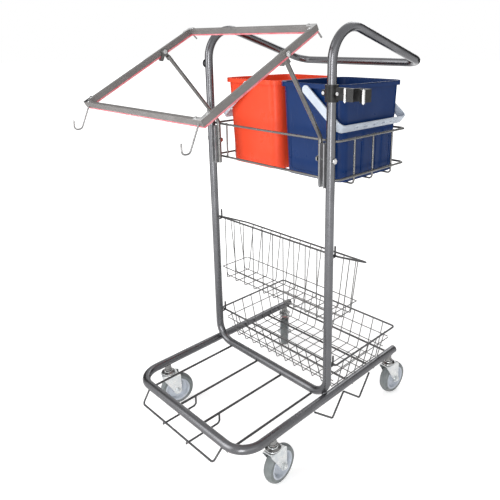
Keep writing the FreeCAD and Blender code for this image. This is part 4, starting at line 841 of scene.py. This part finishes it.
class CART_OT_strip_dots(bpy.types.Operator):
    """Set the small dots along the lower edge of the bag frame's strips"""
    bl_idname = "cart.strip_dots"
    bl_label = "Strip dots"

    def execute(self, context):
        props = context.scene.cart_details
        pivot = JOINTS["bag_frame_tip"]["pos_m"]
        tilt = Matrix.Translation((ORIGIN.x, pivot[1], pivot[2])) @ Matrix.Rotation(BAG_TILT, 4, "X")
        rear = BAG_FRONT + BAG_LENGTH
        runs = [(Vector((side * BAG_HALF, BAG_FRONT, 0)), Vector((0, BAG_LENGTH, 0))) for side in (-1, 1)]
        runs += [(Vector((-BAG_HALF, y, 0)), Vector((2 * BAG_HALF, 0, 0))) for y in (BAG_FRONT, rear)]
        size = Matrix.Diagonal((props.dot_size, props.dot_size, props.dot_size * DOT_HEIGHT_SHARE, 1))
        bm = bmesh.new()
        for start, run in runs:
            count = int(run.length / props.dot_pitch)
            for index in range(1, count):
                spot = start + run * (index / count)
                if abs(spot.x) > BAG_HALF - STRIP_EDGE and abs(spot.y) < BAG_LUG:
                    continue
                place = tilt @ Matrix.Translation(spot + Vector((0, 0, STRIP_FOOT))) @ size
                made = bmesh.ops.create_cube(bm, size=1, matrix=place)
                edges = list({edge for vert in made["verts"] for edge in vert.link_edges})
                bmesh.ops.bevel(bm, geom=edges, offset=props.dot_size * DOT_EDGE_SHARE, offset_type="OFFSET",
                                segments=1, profile=0.5, affect="EDGES", material=-1, clamp_overlap=True)
        put(bm, "strip_dots", "bag_frame", "strip_red")
        return {"FINISHED"}


class CART_OT_bucket_rims(bpy.types.Operator):
    """Roll the upper edge of each bucket"""
    bl_idname = "cart.bucket_rims"
    bl_label = "Bucket rims"

    def execute(self, context):
        props = context.scene.cart_details
        for tone in ("blue", "red"):
            low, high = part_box("bucket_" + tone)
            mid = (low + high) / 2
            half = (high - low) / 2
            bm = bmesh.new()
            foot = Matrix.Translation((mid.x, mid.y, high.z - RIM_ROLL_DROP))
            place = foot @ Matrix.Diagonal((half.x, half.y, 1, 1))
            made = bmesh.ops.create_grid(bm, x_segments=1, y_segments=1, size=1, matrix=place)
            bmesh.ops.bevel(bm, geom=made["verts"], offset=RIM_CORNER, offset_type="OFFSET", segments=10,
                            profile=0.5, affect="VERTICES", material=-1, clamp_overlap=True)
            face = bm.faces[:][0]
            grown = bmesh.ops.extrude_face_region(bm, geom=[face])
            upper = [item for item in grown["geom"] if isinstance(item, bmesh.types.BMVert)]
            bmesh.ops.translate(bm, verts=upper, vec=(0, 0, RIM_ROLL_H))
            flat = [f for f in bm.faces if len(f.verts) > 4]
            bmesh.ops.inset_individual(bm, faces=flat, thickness=props.rim_bead, use_even_offset=True)
            inner = [f for f in bm.faces if len(f.verts) > 4]
            loops = [list(f.edges) for f in inner]
            bmesh.ops.delete(bm, geom=inner, context="FACES_ONLY")
            bmesh.ops.bridge_loops(bm, edges=loops[0] + loops[1])
            shared = [edge for edge in bm.edges if len(edge.link_faces) == 2]
            sharp = [edge for edge in shared if edge.calc_face_angle(0) > SHARP_ANGLE]
            bmesh.ops.bevel(bm, geom=sharp, offset=RIM_ROLL_EDGE, offset_type="OFFSET",
                            segments=props.bevel_steps, profile=0.5, affect="EDGES", material=-1,
                            clamp_overlap=True)
            put(bm, "rim_roll_" + tone, "bucket_" + tone + "_body", "bucket_" + tone)
        return {"FINISHED"}


class CART_OT_stage(bpy.types.Operator):
    """Lay the floor, set the lights and place the camera"""
    bl_idname = "cart.stage"
    bl_label = "Stage"

    def execute(self, context):
        scene = context.scene
        props = scene.cart_stage
        scene.view_settings.view_transform = "Standard"
        self.floor(props)
        self.room(scene, props)
        for name, turn in (("dark_card_right", CARD_RIGHT), ("dark_card_left", CARD_LEFT)):
            self.card(name, turn)
        for name, spot, wide, tall, power in LAMPS:
            data = bpy.data.lights.new(name, "AREA")
            data.energy = getattr(props, power)
            data.shape = "RECTANGLE"
            data.size = wide
            data.size_y = tall
            lamp = bpy.data.objects.new(name, data)
            lamp.visible_camera = False
            lamp.location = spot
            lamp.rotation_euler = (LAMP_AIM - spot).to_track_quat("-Z", "Y").to_euler()
            scene.collection.objects.link(lamp)
        data = bpy.data.cameras.new("photo_camera")
        data.lens = props.lens
        data.sensor_width = SENSOR_MM
        data.shift_x = props.shift_x
        data.shift_y = props.shift_y
        data.clip_start = CLIP_START
        camera = bpy.data.objects.new("photo_camera", data)
        camera.location = props.eye
        camera.rotation_euler = props.turn
        scene.collection.objects.link(camera)
        scene.camera = camera
        return {"FINISHED"}

    def seen(self, tree):
        """A mask of the rays that show a surface: to the eye, in reflections and through clear things."""
        path = tree.nodes.new("ShaderNodeLightPath")
        mask = math_node(tree, "MAXIMUM", path.outputs["Is Camera Ray"], path.outputs["Is Glossy Ray"])
        return math_node(tree, "MAXIMUM", mask, path.outputs["Is Transmission Ray"])

    def floor(self, props):
        """A wide pale floor that turns white away from the cart and keeps the cart's shadow."""
        bm = bmesh.new()
        bmesh.ops.create_grid(bm, x_segments=8, y_segments=8, size=FLOOR_HALF)
        mesh = bpy.data.meshes.new("studio_floor")
        bm.to_mesh(mesh)
        bm.free()
        material = bpy.data.materials.new("studio_floor")
        material.use_nodes = True
        tree = material.node_tree
        tree.nodes.clear()
        out = tree.nodes.new("ShaderNodeOutputMaterial")
        matt = add_node(tree, "ShaderNodeBsdfDiffuse", Color=(*props.floor, 1))
        glow = add_node(tree, "ShaderNodeEmission", Color=(1, 1, 1, 1))
        away = add_node(tree, "ShaderNodeVectorMath", {"operation": "LENGTH"})
        tree.links.new(tree.nodes.new("ShaderNodeTexCoord").outputs["Object"], away.inputs[0])
        white = spread_value(tree, away.outputs["Value"], props.floor_near, props.floor_far,
                             props.floor_glow, 1.0)
        tree.links.new(math_node(tree, "MULTIPLY", self.seen(tree), white), glow.inputs["Strength"])
        both = tree.nodes.new("ShaderNodeAddShader")
        tree.links.new(matt.outputs[0], both.inputs[0])
        tree.links.new(glow.outputs[0], both.inputs[1])
        tree.links.new(both.outputs[0], out.inputs["Surface"])
        mesh.materials.append(material)
        floor = bpy.data.objects.new("studio_floor", mesh)
        bpy.context.scene.collection.objects.link(floor)

    def card(self, name, turn):
        """A tall dark card beside the set that only reflections show, to draw the edges of the metal."""
        aim = Vector((math.cos(turn), math.sin(turn), 0))
        bm = bmesh.new()
        place = facing(aim * CARD_AWAY + Vector((0, 0, CARD_RISE)), -aim)
        made = bmesh.ops.create_grid(bm, x_segments=1, y_segments=1, size=1, matrix=Matrix.Identity(4))
        bmesh.ops.scale(bm, verts=made["verts"], vec=(CARD_WIDE, CARD_TALL, 1))
        bmesh.ops.transform(bm, verts=made["verts"], matrix=place)
        mesh = bpy.data.meshes.new(name)
        bm.to_mesh(mesh)
        bm.free()
        material = bpy.data.materials.new(name)
        material.use_nodes = True
        tree = material.node_tree
        tree.nodes.clear()
        out = tree.nodes.new("ShaderNodeOutputMaterial")
        matt = add_node(tree, "ShaderNodeBsdfDiffuse", Color=(CARD_TONE, CARD_TONE, CARD_TONE, 1))
        tree.links.new(matt.outputs[0], out.inputs["Surface"])
        mesh.materials.append(material)
        card = bpy.data.objects.new(name, mesh)
        bpy.context.scene.collection.objects.link(card)
        for flag in ("visible_camera", "visible_diffuse", "visible_transmission", "visible_shadow"):
            setattr(card, flag, False)

    def room(self, scene, props):
        """Even room light that shows white to the eye and in reflections."""
        world = bpy.data.worlds.new("studio_room")
        world.use_nodes = True
        tree = world.node_tree
        tree.nodes.clear()
        out = tree.nodes.new("ShaderNodeOutputWorld")
        sky = add_node(tree, "ShaderNodeBackground", Color=(1, 1, 1, 1))
        tree.links.new(spread_value(tree, self.seen(tree), 0, 1, props.sky, 1.0), sky.inputs["Strength"])
        tree.links.new(sky.outputs[0], out.inputs["Surface"])
        scene.world = world


class CART_PT_panel(bpy.types.Panel):
    """The cart's steps and settings in the sidebar"""
    bl_idname = "CART_PT_panel"
    bl_label = "Cleaning cart"
    bl_space_type = "VIEW_3D"
    bl_region_type = "UI"
    bl_category = "Cart"

    def draw(self, context):
        layout = self.layout
        for operator in OPERATORS:
            layout.operator(operator.bl_idname)
        for group in ("cart_finishes", "cart_details", "cart_stage"):
            settings = getattr(context.scene, group)
            column = layout.box().column()
            for name in settings.bl_rna.properties.keys():
                if name not in ("rna_type", "name"):
                    column.prop(settings, name)


OPERATORS = (CART_OT_finishes, CART_OT_frame_welds, CART_OT_rack_welds, CART_OT_caster_fittings,
             CART_OT_bolt_fittings, CART_OT_strip_dots, CART_OT_bucket_rims, CART_OT_stage)
CLASSES = (CART_PG_finishes, CART_PG_details, CART_PG_stage) + OPERATORS + (CART_PT_panel,)


def register():
    for cls in CLASSES:
        bpy.utils.register_class(cls)
    bpy.types.Scene.cart_finishes = PointerProperty(type=CART_PG_finishes)
    bpy.types.Scene.cart_details = PointerProperty(type=CART_PG_details)
    bpy.types.Scene.cart_stage = PointerProperty(type=CART_PG_stage)


def unregister():
    for name in ("cart_finishes", "cart_details", "cart_stage"):
        delattr(bpy.types.Scene, name)
    for cls in reversed(CLASSES):
        bpy.utils.unregister_class(cls)


def main():
    register()
    bpy.ops.cart.finishes()
    bpy.ops.cart.frame_welds()
    bpy.ops.cart.rack_welds()
    bpy.ops.cart.caster_fittings()
    bpy.ops.cart.bolt_fittings()
    bpy.ops.cart.strip_dots()
    bpy.ops.cart.bucket_rims()
    bpy.ops.cart.stage()


if __name__ == "__main__":
    main()
